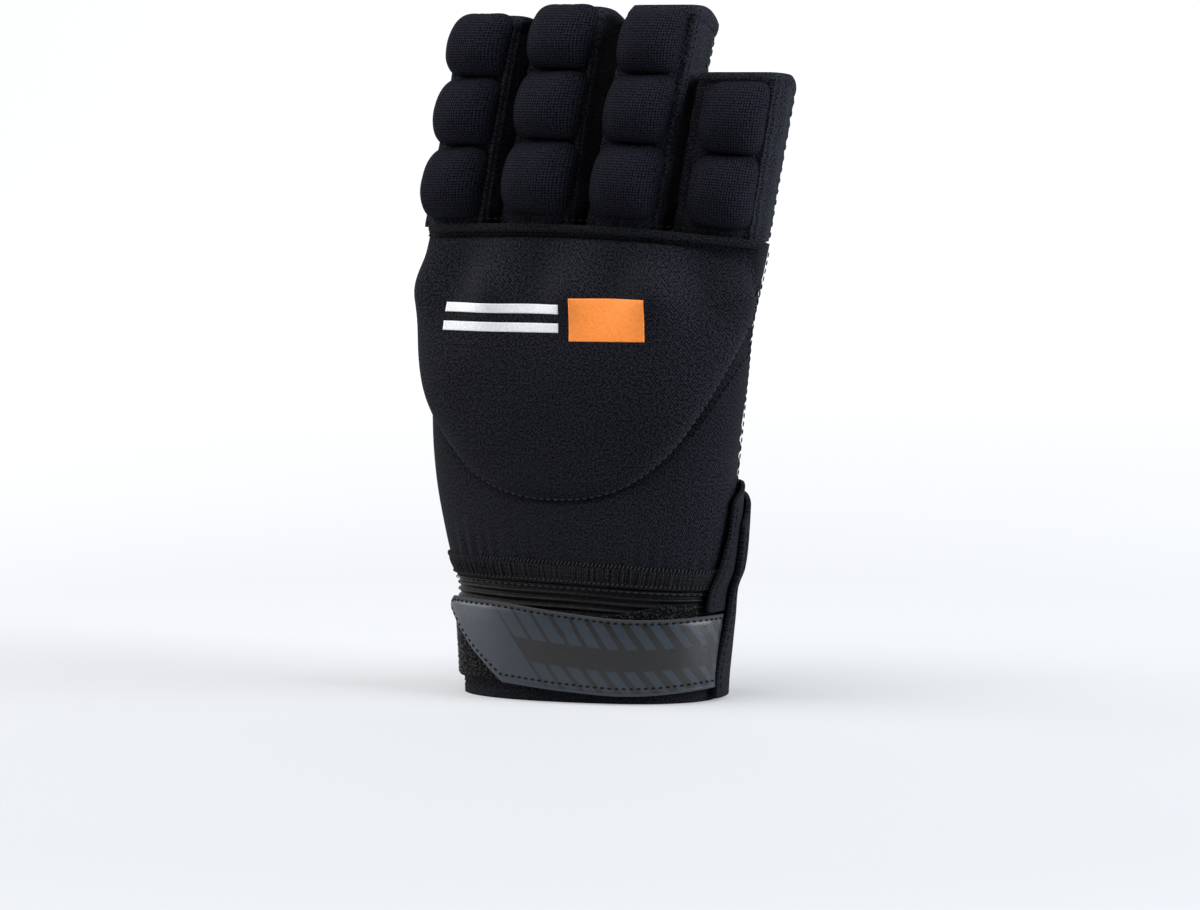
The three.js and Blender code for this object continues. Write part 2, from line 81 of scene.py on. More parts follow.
def signed_power(value: Array, power: Array | float) -> Array:
    """Raise to a power and keep the sign, which squares up an ellipse."""
    return np.sign(value) * np.abs(value) ** power


def smoothstep(value: Array, low: float, high: float) -> Array:
    """Go smoothly from 0 at low to 1 at high."""
    t = np.clip((value - low) / (high - low), 0, 1)
    return t * t * (3 - 2 * t)


def bell(value: Array, width: float) -> Array:
    """Fall smoothly from 1 at 0 to nearly nothing past twice the width."""
    return np.exp(-((value / width) ** 2))


def ripple(u: Array, v: Array, pitch: float, seed: int) -> Array:
    """Give a smooth uneven relief between about -1 and 1.

    Args:
        u: Places along one way, in millimetres.
        v: Places along the other way.
        pitch: The usual distance between two crests.
        seed: Picks one relief.

    Returns:
        The relief at each place.
    """
    rng = np.random.default_rng(seed)
    total = np.zeros_like(u)
    for _ in range(7):
        way = rng.uniform(0, math.tau)
        wave = math.tau / (pitch * rng.uniform(0.7, 1.6))
        total += np.sin(wave * (u * math.cos(way) + v * math.sin(way)) + rng.uniform(0, math.tau))
    return total / 4


def oval(half_width: Array, front: Array, rear: Array, squares: tuple, angle: Array, out: Array) -> tuple:
    """Walk round a squared oval.

    Args:
        half_width: Half its width.
        front: Its depth on the side of the negative angles.
        rear: Its depth on the other side.
        squares: The powers of its front and its rear, 2 being an ellipse.
        angle: Degrees round it.
        out: The distance out from its rim.

    Returns:
        Across and depth of each point, and across and depth on the rim itself.
    """
    c, s = np.cos(np.radians(angle)), np.sin(np.radians(angle))
    power = np.where(s < 0, squares[0], squares[1])
    depth = np.where(s < 0, front, rear)
    x, y = half_width * signed_power(c, 2 / power), depth * signed_power(s, 2 / power)
    nx = signed_power(x / half_width, power - 1) / half_width
    ny = signed_power(y / depth, power - 1) / depth
    length = np.hypot(nx, ny)
    return x + out * nx / length, y + out * ny / length, x, y


# The forms that the pieces lie on

@dataclass(frozen=True)
class Ring:
    """One cross-section of the hand, in millimetres; tilt and sag bend its level."""

    z: float
    centre: float
    half_width: float
    front: float
    rear: float
    square: float
    tilt: float
    sag: float


RINGS = (
    Ring(2.6, -2.0, 41.6, 24.0, 22.0, 2.35, 0, 0),
    Ring(16, -2.2, 42.0, 24.2, 22.4, 2.35, -0.01, 0),
    Ring(31, -2.6, 42.6, 24.2, 22.8, 2.35, -0.035, 0.6),
    Ring(40, -2.8, 43.2, 24.2, 23.2, 2.3, -0.035, 1.2),
    Ring(47, -3.0, 45.6, 25.0, 24.0, 2.3, -0.035, 1.6),
    Ring(58, -3.2, 47.8, 25.4, 25.0, 2.3, -0.02, 0.8),
    Ring(72, -3.6, 49.6, 25.2, 25.4, 2.3, 0, 0),
    Ring(90, -3.5, 51.4, 24.0, 24.6, 2.3, 0, 0),
    Ring(106, -2.6, 52.2, 22.6, 22.6, 2.35, 0, 0),
    Ring(122, -1.6, 53.0, 21.0, 19.6, 2.4, 0, 0),
    Ring(138, -0.3, 55.0, 19.0, 16.0, 2.5, -0.015, 1.2),
    Ring(151.8, 0.4, 56.6, 17.6, 13.2, 2.6, -0.035, 3.0),
)


class HandForm:
    """The outer surface of the hand and the cuff."""

    table = np.array([astuple(ring) for ring in RINGS])

    def rows(self, z: Array) -> Array:
        """Give the cross-section at each height, one column for each number of a ring."""
        return hermite(self.table, z).T

    def point(self, angle: Array, z: Array, out: Array | float = 0.0) -> Array:
        """Find points on the surface or out from it.

        Args:
            angle: Degrees round the hand; 0 is the little finger's side and -90 the back of the hand.
            z: Heights.
            out: Distances out from the surface.

        Returns:
            The points, one row each.
        """
        angle, z, out = np.broadcast_arrays(*(np.asarray(v, float) for v in (angle, z, out)))
        _, centre, half, front, rear, square, tilt, sag = self.rows(z)
        x, y, rim_x, _ = oval(half, front, rear, (square, square), angle, out)
        return np.stack([x + centre, y, z + tilt * (rim_x + centre) - sag * (rim_x / half) ** 2], axis=1)

    def across(self, x: Array, z: Array) -> Array:
        """Find the angle at which the back of the hand has a place across it.

        Args:
            x: Places across the hand.
            z: Heights.

        Returns:
            The angles, in degrees.
        """
        _, centre, half, _, _, square, _, _ = self.rows(z)
        share = np.clip((x - centre) / half, -1, 1)
        return -np.degrees(np.arccos(signed_power(share, square / 2)))

    def inside(self, points: Array, out: float) -> Array:
        """Tell which points lie less than a distance out from the surface.

        Args:
            points: The points, one row each.
            out: The distance.

        Returns:
            True for each point that does.
        """
        _, centre, half, front, rear, square, _, _ = self.rows(points[:, 2])
        depth = np.where(points[:, 1] < 0, front, rear) + out
        reach = np.abs((points[:, 0] - centre) / (half + out)) ** square
        return reach + np.abs(points[:, 1] / depth) ** square < 1


HAND = HandForm()
RIM_Z, BAND_TOP, ELASTIC_TOP, HEM_TOP, KNUCKLE_SEAM = 2.6, 31.6, 39.8, 46.6, 151.8
GAP, PAD_GAP = 0.3, 0.1


@dataclass(frozen=True)
class Section:
    """The root or the tip of a finger stall."""

    x: float
    y: float
    width: float
    depth: float
    pad_width: float
    pad_shift: float


@dataclass(frozen=True)
class Finger:
    """One half-finger stall with the pads on its back."""

    name: str
    top: float
    turn: float
    flare: float
    root: Section
    tip: Section
    pads_low: float
    pads_high: float
    shares: tuple[float, ...]
    squares: tuple[float, float] = (4.0, 2.6)
    palm_drop: float = 9.0
    seam: float = 44.0
    flare_from: float = -44.0

    def mix(self, key: str, rise: Array) -> Array:
        """Go from the root's value to the tip's."""
        return getattr(self.root, key) + (getattr(self.tip, key) - getattr(self.root, key)) * rise

    def point(self, angle: Array, rise: Array, out: Array | float = 0.0) -> Array:
        """Find points on the stall or out from it.

        Args:
            angle: Degrees round the stall, -90 being the back of the finger.
            rise: 0 at the knuckle seam and 1 at the open end.
            out: Distances out from the surface.

        Returns:
            The points, one row each.
        """
        angle, rise, out = np.broadcast_arrays(*(np.asarray(v, float) for v in (angle, rise, out)))
        depth = self.mix("depth", rise) / 2
        lx, ly, _, rim_y = oval(self.mix("width", rise) / 2, depth, depth, self.squares, angle, out)
        side = np.maximum(0, np.cos(np.radians(angle)))
        lx = lx + self.flare * side * smoothstep(angle, self.flare_from, 0)
        turn = math.radians(-self.turn)
        x = self.mix("x", rise) + lx * math.cos(turn) - ly * math.sin(turn)
        y = self.mix("y", rise * rise) + lx * math.sin(turn) + ly * math.cos(turn)
        last = RINGS[-1]
        foot = KNUCKLE_SEAM + 0.5 + last.tilt * x - last.sag * ((x - last.centre) / last.half_width) ** 2
        to_palm = (rim_y / depth + 1) / 2
        top = self.top - self.palm_drop * to_palm ** 2
        return np.stack([x, y, foot + (top - foot) * rise], axis=1)

    def over(self, across: Array, rise: Array, out: Array | float) -> Array:
        """Find points over the back of the finger, straight out from it.

        Args:
            across: Places across the back of the stall.
            rise: 0 at the knuckle seam and 1 at the open end.
            out: Distances out.

        Returns:
            The points, one row each.
        """
        share = np.clip(across / (self.mix("width", rise) / 2), -0.98, 0.98)
        angle = -np.degrees(np.arccos(signed_power(share, self.squares[0] / 2)))
        turn = math.radians(self.turn)
        away = np.array([-math.sin(turn), -math.cos(turn), 0.0])
        return self.point(angle, rise) + np.asarray(out, float)[..., None] * away

    def rise_at(self, z: Array | float) -> Array | float:
        """Turn a height into a rise up the back of the stall."""
        foot = float(self.point(np.array([-90.0]), np.array([0.0]))[0, 2])
        return (z - foot) / (self.top - foot)

    def pad_span(self, number: int) -> tuple[float, float]:
        """Find where a pad lies up the finger.

        Args:
            number: Which pad, counted from the knuckle.

        Returns:
            The height of its middle, and half its own height less the gap beside it.
        """
        below, share = sum(self.shares[:number]), self.shares[number]
        height = self.pads_high - self.pads_low
        return self.pads_low + height * (below + share / 2), (height * share - PAD_GAP) / 2


FINGERS = (
    Finger("index", 218.4, 22, 0, Section(-40.6, -0.3, 25.6, 24.6, 22.6, -0.4),
           Section(-29.6, 4.8, 24.2, 24.0, 22.2, -0.4), 153.9, 219.2, (0.353, 0.333, 0.314)),
    Finger("middle", 221.2, 12, 0, Section(-13.6, -2.0, 26.2, 28.5, 24.4, 0.4),
           Section(-4.2, 5.2, 22.8, 25.0, 21.4, -0.4), 155.8, 222.0, (0.353, 0.333, 0.314)),
    Finger("ring", 221.6, 2, 0, Section(13.2, -2.0, 25.0, 28.5, 23.0, -0.2),
           Section(25.0, 5.0, 24.4, 27.0, 20.2, -1.6), 155.1, 220.6, (0.353, 0.333, 0.314)),
    Finger("little", 200.6, -5, 2.6, Section(40.2, 0.6, 26.0, 24.4, 20.6, 1.4),
           Section(48.0, 3.4, 26.4, 25.0, 20.2, 1.2), 152.4, 197.8, (0.5, 0.5)),
)


# Modelling

class Bench:
    """The modelling bench: one object at a time, shaped with Blender's operators."""

    def take(self, obj: bpy.types.Object) -> bpy.types.Object:
        """Make an object the only selected one and the active one.

        Args:
            obj: The object.

        Returns:
            The same object.
        """
        if bpy.context.object and bpy.context.object.mode != "OBJECT":
            bpy.ops.object.mode_set(mode="OBJECT")
        bpy.ops.object.select_all(action="DESELECT")
        obj.select_set(True)
        bpy.context.view_layer.objects.active = obj
        return obj

    def spots(self, obj: bpy.types.Object) -> Array:
        """Read an object's points.

        Args:
            obj: The object.

        Returns:
            The points in metres, one row each.
        """
        found = np.empty(len(obj.data.vertices) * 3)
        obj.data.vertices.foreach_get("co", found)
        return found.reshape(-1, 3)

    def put(self, obj: bpy.types.Object, points: Array) -> None:
        """Set an object's points, given in metres."""
        obj.data.vertices.foreach_set("co", points.astype(np.float32).ravel())
        obj.data.update()

    def sheet(self, name: str, faces: tuple[int, int], surface: Surface, chart: tuple[float, float] | Surface,
              closed: bool = False) -> bpy.types.Object:
        """Lay a fine grid on a surface, as cloth is laid on a form.

        Args:
            name: The piece's name.
            faces: How many faces the grid has across and up.
            surface: Gives points in millimetres for places across and up, from 0 to 1.
            chart: The cloth's size in millimetres, or where each place lies on it, for its UV map.
            closed: Whether its last column meets its first.

        Returns:
            The new object.
        """
        bpy.ops.object.select_all(action="DESELECT")
        bpy.ops.mesh.primitive_grid_add(x_subdivisions=faces[0], y_subdivisions=faces[1], size=2.0)
        obj = bpy.context.active_object
        obj.name = obj.data.name = name
        flat = self.spots(obj)[:, :2] / 2 + 0.5
        self.put(obj, (surface(flat[:, 0], flat[:, 1]) + ORIGIN) * MM)
        layer = obj.data.uv_layers.active.data
        uv = np.empty(len(layer) * 2)
        layer.foreach_get("uv", uv)
        uv = uv.reshape(-1, 2)
        laid = chart(uv[:, 0], uv[:, 1]) if callable(chart) else uv * np.array(chart)
        layer.foreach_set("uv", laid.astype(np.float32).ravel())
        self.take(obj)
        if closed:
            self.edit("remove_doubles", threshold=1e-6)
        bpy.ops.object.shade_smooth()
        return obj

    def edit(self, operator: str, **settings: object) -> None:
        """Run one edit-mode operator on the whole active mesh.

        Args:
            operator: Its name.
            settings: Its settings.
        """
        bpy.ops.object.mode_set(mode="EDIT")
        bpy.ops.mesh.select_all(action="SELECT")
        getattr(bpy.ops.mesh, operator)(**settings)
        bpy.ops.object.mode_set(mode="OBJECT")

    def drop(self, obj: bpy.types.Object, doomed: Callable[[Array], Array]) -> None:
        """Delete some faces.

        Args:
            obj: The object.
            doomed: Tells which faces go, by their middles in millimetres about the wrist.
        """
        self.take(obj)
        middles = np.empty(len(obj.data.polygons) * 3)
        obj.data.polygons.foreach_get("center", middles)
        picked = doomed(middles.reshape(-1, 3) / MM - ORIGIN)
        for part in (obj.data.vertices, obj.data.edges):
            part.foreach_set("select", np.zeros(len(part), bool))
        obj.data.polygons.foreach_set("select", picked)
        bpy.ops.object.mode_set(mode="EDIT")
        bpy.ops.mesh.select_mode(type="FACE")
        bpy.ops.mesh.delete(type="FACE")
        bpy.ops.mesh.select_mode(type="VERT")
        bpy.ops.object.mode_set(mode="OBJECT")

    def modify(self, obj: bpy.types.Object, kind: str, **settings: object) -> None:
        """Add a modifier and apply it.

        Args:
            obj: The object.
            kind: The modifier's type.
            settings: Its settings.
        """
        self.take(obj)
        bpy.ops.object.modifier_add(type=kind)
        made = obj.modifiers[-1]
        for key, value in settings.items():
            setattr(made, key, value)
        bpy.ops.object.modifier_apply(modifier=made.name)

    def thicken(self, obj: bpy.types.Object, thickness: float, rim_slot: int = 0) -> None:
        """Give cloth its thickness in millimetres, inwards from its outer face."""
        self.modify(obj, "SOLIDIFY", thickness=thickness * MM, offset=-1.0, material_offset_rim=rim_slot)

    def soften(self, obj: bpy.types.Object, width: float, levels: int = 1) -> None:
        """Round the cut edges and subdivide.

        Args:
            obj: The object.
            width: The width of the rounding in millimetres, or 0 for none.
            levels: How many times it is subdivided.
        """
        if width:
            self.modify(obj, "BEVEL", width=width * MM, segments=2, limit_method="ANGLE",
                        angle_limit=math.radians(50))
        if levels:
            self.modify(obj, "SUBSURF", levels=levels, render_levels=levels)
        self.take(obj)
        bpy.ops.object.shade_smooth()

    def template(self, rings: int, segments: int, size: tuple[float, float, float]) -> tuple[Array, list]:
        """Model one small rounded piece and take it off the bench.

        Args:
            rings: Its rings from end to end.
            segments: Its sides.
            size: Its length, width and height in millimetres.

        Returns:
            Its points in millimetres and its faces.
        """
        bpy.ops.object.select_all(action="DESELECT")
        bpy.ops.mesh.primitive_uv_sphere_add(segments=segments, ring_count=rings, radius=0.5,
                                             rotation=(0, math.pi / 2, 0))
        obj = bpy.context.active_object
        bpy.ops.object.transform_apply(rotation=True)
        points = self.spots(obj) * np.array(size)
        faces = [tuple(p.vertices) for p in obj.data.polygons]
        bpy.data.objects.remove(obj)
        return points, faces

    def scatter(self, name: str, shape: tuple[Array, list], places: Array, along: Array, outward: Array,
                sizes: Optional[Array] = None) -> bpy.types.Object:
        """Copy one small piece to many places as one mesh.

        Args:
            name: The new object's name.
            shape: The points and faces of the small piece.
            places: Where each copy goes, in millimetres.
            along: The way that each copy's length runs.
            outward: The way that each copy's height points.
            sizes: The size of each copy, 1 being as modelled.

        Returns:
            The new object.
        """
        points, faces = shape
        x = along / np.linalg.norm(along, axis=1, keepdims=True)
        z = outward - x * (outward * x).sum(axis=1, keepdims=True)
        z /= np.linalg.norm(z, axis=1, keepdims=True)
        turned = np.stack([x, np.cross(z, x), z], axis=1)
        grown = np.ones(len(places)) if sizes is None else sizes
        copies = np.einsum("pk,nkj->npj", points, turned) * grown[:, None, None] + places[:, None, :]
        mesh = bpy.data.meshes.new(name)
        step = len(points)
        everywhere = [tuple(v + step * n for v in f) for n in range(len(places)) for f in faces]
        mesh.from_pydata(((copies.reshape(-1, 3) + ORIGIN) * MM).tolist(), [], everywhere)
        mesh.uv_layers.new(name="UVMap")
        obj = bpy.data.objects.new(name, mesh)
        bpy.context.scene.collection.objects.link(obj)
        self.take(obj)
        bpy.ops.object.shade_smooth()
        return obj


BENCH = Bench()


# Finishes

class Shader:
    """One material, built node by node."""

    def __init__(self, name: str, roughness: float, specular: float = 0.5, sheen: float = 0.0) -> None:
        """Start a material.

        Args:
            name: Its name.
            roughness: How matt it is.
            specular: How strongly it mirrors, 0.5 being plain plastic.
            sheen: How much its fibres catch light at the edges.
        """
        self.material = bpy.data.materials.new(name)
        self.material.use_nodes = True
        self.tree = self.material.node_tree
        self.shader = self.tree.nodes["Principled BSDF"]
        for socket, value in (
                ("Roughness", roughness),
                ("Specular IOR Level", specular),
                ("Sheen Weight", sheen),
                ("Sheen Roughness", 0.45)):
            self.shader.inputs[socket].default_value = value

    def node(self, kind: str, inputs: dict, **settings: object) -> bpy.types.Node:
        """Add a node.

        Args:
            kind: Its type without the leading ShaderNode.
            inputs: Values or sockets for its inputs, by name or number.
            settings: Its own settings.

        Returns:
            The node.
        """
        made = self.tree.nodes.new("ShaderNode" + kind)
        for key, value in settings.items():
            setattr(made, key, value)
        for key, value in inputs.items():
            socket = made.inputs[key]
            if isinstance(value, Socket):
                self.tree.links.new(value, socket)
            elif isinstance(value, tuple):
                socket.default_value = (*value, 1.0)[:len(socket.default_value)]
            else:
                socket.default_value = value
        return made

    def math(self, operation: str, *values: object) -> Socket:
        """Work out a number from numbers or sockets."""
        return self.node("Math", dict(enumerate(values)), operation=operation).outputs[0]

    def cloth(self) -> tuple[Socket, Socket, Socket]:
        """Read the place on the cloth from the piece's UV map.

        Returns:
            The place across and up in millimetres, and both as a vector.
        """
        place = self.node("UVMap", {}).outputs[0]
        parts = self.node("SeparateXYZ", {0: place})
        return parts.outputs[0], parts.outputs[1], place

    def space(self) -> Socket:
        """Give the place in the object."""
        return self.node("TexCoord", {}).outputs["Object"]

    def wave(self, value: Socket, pitch: float) -> Socket:
        """Go up and down between 0 and 1 once each pitch."""
        turned = self.math("MULTIPLY", value, math.tau / pitch)
        return self.math("MULTIPLY_ADD", self.math("SINE", turned), 0.5, 0.5)

    def noise(self, where: Socket, scale: float, detail: float = 3.0) -> Socket:
        """Give a cloudy value between 0 and 1."""
        return self.node("TexNoise", {"Vector": where, "Scale": scale, "Detail": detail}).outputs[0]

    def blend(self, share: object, low: object, high: object) -> Socket:
        """Go from one colour to another by a share, each a value or a socket."""
        return self.node("Mix", {0: share, 6: low, 7: high}, data_type="RGBA").outputs[2]

    def feed(self, socket: str, value: Socket) -> None:
        """Lead a socket to the shader."""
        self.tree.links.new(value, self.shader.inputs[socket])

    def bump(self, height: Socket, depth: float) -> None:
        """Raise the surface by a height between 0 and 1, times a depth in millimetres."""
        self.feed("Normal", self.node("Bump", {"Height": height, "Distance": depth * MM}).outputs[0])


class Weave(Enum):
    """How a cloth is made."""

    JERSEY = "jersey"
    RIB = "rib"
    SUEDE = "suede"
    ELASTIC = "elastic"
    PILE = "pile"


@dataclass(frozen=True)
class Cloth:
    """A cloth with its weave in relief and in tone."""

    name: str
    weave: Weave
    colour: Colour
    pitch: float = 0.7
    relief: float = 0.1
    roughness: float = 0.85
    specular: float = 0.03
    sheen: float = 0.02
    contrast: float = 0.8
    speckle: float = 0.45

    def height(self, shader: Shader) -> Socket:
        """Make the weave's height.

        Args:
            shader: The material that it is for.

        Returns:
            The height, between about 0 and 1.
        """
        across, up, place = shader.cloth()
        if self.weave is Weave.JERSEY:
            made = self.twill(shader, across, up)
        elif self.weave is Weave.RIB:
            made = self.ribs(shader, across, up)
        elif self.weave is Weave.ELASTIC:
            rows = shader.math("MULTIPLY_ADD", shader.wave(up, self.pitch * 1.6), 0.5, 0.5)
            made = shader.math("MULTIPLY", shader.wave(across, self.pitch), rows)
        else:
            made = shader.noise(place, 2.6 if self.weave is Weave.PILE else 3.4, 4.0)
        grain = shader.node("MapRange", {0: shader.noise(place, 1.5, 1.0), 1: 0.34, 2: 0.66}).outputs[0]
        woven = shader.math("MULTIPLY", made, 1 - self.speckle)
        return shader.math("MULTIPLY_ADD", grain, self.speckle, woven)

    def twill(self, shader: Shader, across: Socket, up: Socket) -> Socket:
        """Make jersey's fine slanted rows, crossed by wider ones that slant the other way.

        Args:
            shader: The material that it is for.
            across: The place across the cloth.
            up: The place up the cloth.

        Returns:
            The height, between 0 and 1.
        """
        steep, counter = 0.8, -1.3
        rows = shader.wave(shader.math("MULTIPLY_ADD", up, steep, across), self.pitch)
        cross = shader.wave(shader.math("MULTIPLY_ADD", up, counter, across), self.pitch * 1.3)
        return shader.math("MULTIPLY", shader.math("MULTIPLY_ADD", cross, 0.6, 0.4), rows)

    def ribs(self, shader: Shader, across: Socket, up: Socket) -> Socket:
        """Make knitted ribs, each a column of stitches.

        Args:
            shader: The material that it is for.
            across: The place across the cloth.
            up: The place up the cloth.

        Returns:
            The height, between 0 and 1.
        """
        turned = shader.math("MULTIPLY", across, math.pi / self.pitch)
        wale = shader.math("ABSOLUTE", shader.math("SINE", turned))
        row = shader.wave(shader.math("MULTIPLY_ADD", wale, 0.35 * self.pitch, up), self.pitch)
        stitch = shader.math("MULTIPLY_ADD", row, 0.75, 0.25)
        return shader.math("MULTIPLY", shader.math("POWER", wale, 0.8), stitch)

    def make(self) -> bpy.types.Material:
        """Build the material.

        Returns:
            The material: the weave in relief and in tone, and a fifth of a slow change of tone over it.
        """
        shader = Shader(self.name, self.roughness, self.specular, self.sheen)
        height = self.height(shader)
        stretched = shader.node("MapRange", {0: height, 1: 0.15, 2: 0.8}).outputs[0]
        tone = shader.blend(stretched, self.shade(1 - self.contrast), self.shade(1 + self.contrast))
        slow = shader.blend(shader.noise(shader.space(), 45.0, 4.0), self.shade(0.6), self.shade(1.4))
        shader.feed("Base Color", shader.blend(0.2, tone, slow))
        shader.bump(height, self.relief)
        return shader.material

    def shade(self, share: float) -> Colour:
        """Give the cloth's colour, lighter or darker."""
        return tuple(c * max(share, 0.0) for c in self.colour)


@dataclass(frozen=True)
class Plain:
    """Thread, rubber or a film of ink: one tone with a fine grain."""

    name: str
    colour: Colour
    roughness: float = 0.6
    specular: float = 0.3
    grain: float = 900.0
    relief: float = 0.05

    def make(self) -> bpy.types.Material:
        """Build the material.

        Returns:
            The material.
        """
        shader = Shader(self.name, self.roughness, self.specular)
        grain = shader.noise(shader.space(), self.grain, 3.0)
        low, high = (tuple(c * share for c in self.colour) for share in (0.75, 1.2))
        shader.feed("Base Color", shader.blend(grain, low, high))
        shader.bump(grain, self.relief)
        return shader.material


@dataclass(frozen=True)
class StrapLeather:
    """Glossy synthetic leather, printed with two rows of slanted bars on either side of a plain band."""

    name: str = "strap leather"
    light: Colour = (0.023, 0.031, 0.042)
    dark: Colour = (0.0125, 0.0120, 0.0125)
    border: Colour = (0.017, 0.017, 0.019)
    period: float = 5.9
    slope: float = 0.85
    upper: tuple[float, float] = (15.1, 23.9)
    lower: tuple[float, float] = (0.9, 8.0)
    start: float = 42.6
    widening: tuple[float, float] = (0.0058, 0.02)
    hairline: float = 0.5
    border_from: float = 24.0

    def between(self, shader: Shader, value: Socket, span: tuple[float, float]) -> Socket:
        """Give 1 where a value lies in a span."""
        above = shader.math("GREATER_THAN", value, span[0])
        return shader.math("MULTIPLY", above, shader.math("LESS_THAN", value, span[1]))

    def make(self) -> bpy.types.Material:
        """Build the material.

        Returns:
            The material.
        """
        shader = Shader(self.name, 0.34, 0.5)
        across, up, place = shader.cloth()
        slanted = shader.math("MULTIPLY_ADD", up, self.slope, across)
        past = shader.math("SUBTRACT", slanted, self.start)
        phase = shader.math("FRACT", shader.math("DIVIDE", past, self.period))
        bar = shader.math("LESS_THAN", phase, shader.math("MULTIPLY_ADD", across, *self.widening))
        rows = shader.math("ADD", self.between(shader, up, self.upper), self.between(shader, up, self.lower))
        band = self.between(shader, up, (self.lower[1], self.upper[0]))
        begun = shader.math("GREATER_THAN", past, 0.0)
        hairline = self.between(shader, past, (0.0, self.hairline))
        inked = shader.math("MULTIPLY", begun, shader.math("ADD", band, shader.math("MULTIPLY", bar, rows)))
        inked = shader.math("MAXIMUM", inked, hairline)
        cloudy = shader.blend(shader.noise(shader.space(), 60.0, 3.0), tuple(c * 0.85 for c in self.light),
                              tuple(c * 1.15 for c in self.light))
        printed = shader.blend(inked, cloudy, self.dark)
        edge = shader.math("GREATER_THAN", up, self.border_from)
        shader.feed("Base Color", shader.blend(edge, printed, self.border))
        cells = shader.node("TexVoronoi", {"Vector": place, "Scale": 1.4}, feature="DISTANCE_TO_EDGE")
        grain = shader.math("MINIMUM", cells.outputs[0], 0.25)
        creases = shader.math("MULTIPLY", shader.noise(place, 0.35, 2.0), 0.8)
        shader.bump(shader.math("MULTIPLY_ADD", grain, 2.0, creases), 0.05)
        wear = shader.math("MULTIPLY_ADD", shader.noise(shader.space(), 120.0, 4.0), 0.16, 0.26)
        shader.feed("Roughness", shader.math("MAXIMUM", wear, shader.math("MULTIPLY", edge, 0.8)))
        return shader.material


@dataclass(frozen=True)
class Backdrop:
    """The pale paper that the glove stands on, painted darker in front and lighter farther back as painted
    shade, which glows white farther away as painted light.
    """

    name: str = "pale paper"
    painted_shade_tones: tuple[tuple[float, Colour], ...] = (
        (0.0, (0.315, 0.321, 0.333)),
        (0.42, (0.318, 0.323, 0.335)),
        (0.50, (0.335, 0.339, 0.350)),
        (0.58, (0.375, 0.378, 0.390)),
        (0.70, (0.385, 0.388, 0.397)),
        (1.0, (0.415, 0.417, 0.425)),
    )
    glow_colour: Colour = (0.975, 0.982, 1.0)
    glow_reach: tuple[float, float] = (0.34, 1.6)
    glow: tuple[float, float] = (0.325, 0.77)

    def make(self) -> bpy.types.Material:
        """Build the material, painted darker in front and lighter farther back as painted shade, and glowing
        more with the distance as painted light.

        Returns:
            The material.
        """
        shader = Shader(self.name, 0.9, 0.1)
        depth = shader.node("SeparateXYZ", {0: shader.space()}).outputs[1]
        # painted shade: the paper's colour grows lighter from in front of the glove to behind it
        ramp = shader.node("ValToRGB", {0: shader.math("MULTIPLY_ADD", depth, 0.8, 0.5)})
        stops = ramp.color_ramp.elements
        while len(stops) < len(self.painted_shade_tones):
            stops.new(0.5)
        for stop, (place, colour) in zip(stops, self.painted_shade_tones):
            stop.position = place
            stop.color = (*colour, 1.0)
        shader.feed("Base Color", ramp.outputs[0])
        level = shader.node("VectorMath", {0: shader.space(), 1: (1.0, 1.0, 0.0)}, operation="MULTIPLY")
        away = shader.node("VectorMath", {0: level.outputs[0]}, operation="LENGTH").outputs["Value"]
        near, far = self.glow_reach
        glow = shader.node("MapRange", {0: away, 1: near, 2: far, 3: self.glow[0], 4: self.glow[1]})
        shader.feed("Emission Strength", glow.outputs[0])
        shader.shader.inputs["Emission Color"].default_value = (*self.glow_colour, 1.0)
        return shader.material


JERSEY = Cloth("black jersey", Weave.JERSEY, (0.0122, 0.0127, 0.0166), 0.9, 0.24,
               contrast=1.0, speckle=0.6)
SIDE_CLOTH = Cloth("black side cloth", Weave.JERSEY, (0.0172, 0.0179, 0.0238), 0.85, 0.24,
                   contrast=1.0, speckle=0.6)
KNIT = Cloth("black ribbed knit", Weave.RIB, (0.0098, 0.0102, 0.0150), 0.80, 0.46,
             sheen=0.0, contrast=1.3, speckle=0.3)
SUEDE = Cloth("black suede", Weave.SUEDE, (0.0090, 0.0091, 0.0108), 0.5, 0.08, sheen=0.12)
HEM_CLOTH = Cloth("black hem cloth", Weave.ELASTIC, (0.0140, 0.0138, 0.0155), 0.8, 0.2)
ELASTIC = Cloth("black elastic", Weave.ELASTIC, (0.0040, 0.0040, 0.0050), 0.9, 0.15, 0.42, 0.13)
PILE = Cloth("black loop tape", Weave.PILE, (0.0045, 0.0045, 0.0050), 0.5, 0.3, sheen=0.03)
FOAM_EDGE = Cloth("grey foam edge", Weave.SUEDE, (0.020, 0.0195, 0.021), 0.4, 0.08)
DARK_THREAD = Plain("black thread", (0.0032, 0.0032, 0.0040), 0.7, 0.12)
GREY_THREAD = Plain("grey thread", (0.030, 0.030, 0.034), 0.7, 0.15)
FIBRE = Plain("loop fibre", (0.016, 0.0165, 0.019), 0.32, 0.6)
GRIP = Plain("grip rubber", (0.020, 0.021, 0.023), 0.55, 0.25, 500.0, 0.02)
WHITE_INK = Plain("white ink", (0.78, 0.78, 0.80), 0.6, 0.4, 1400.0, 0.03)
ORANGE_INK = Plain("orange ink", (0.98, 0.285, 0.048), 0.6, 0.3, 1400.0, 0.03)


class Wardrobe:
    """The finished materials, each made once."""

    def __init__(self) -> None:
        """Start with none."""
        self.made: dict[str, bpy.types.Material] = {}

    def dress(self, obj: bpy.types.Object, finishes: tuple, nodes: tuple[str, ...] = ()) -> bpy.types.Object:
        """Give a piece its materials and its place in the frame.

        Args:
            obj: The piece.
            finishes: Its finishes, one for each material slot.
            nodes: The frame's nodes that it stands for.

        Returns:
            The piece.
        """
        obj.data.materials.clear()
        for finish in finishes:
            if finish.name not in self.made:
                self.made[finish.name] = finish.make()
            obj.data.materials.append(self.made[finish.name])
        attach(obj, "root")
        if nodes:
            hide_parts(*nodes)
        LOG.info("%s: %d faces", obj.name, len(obj.data.polygons))
        return obj


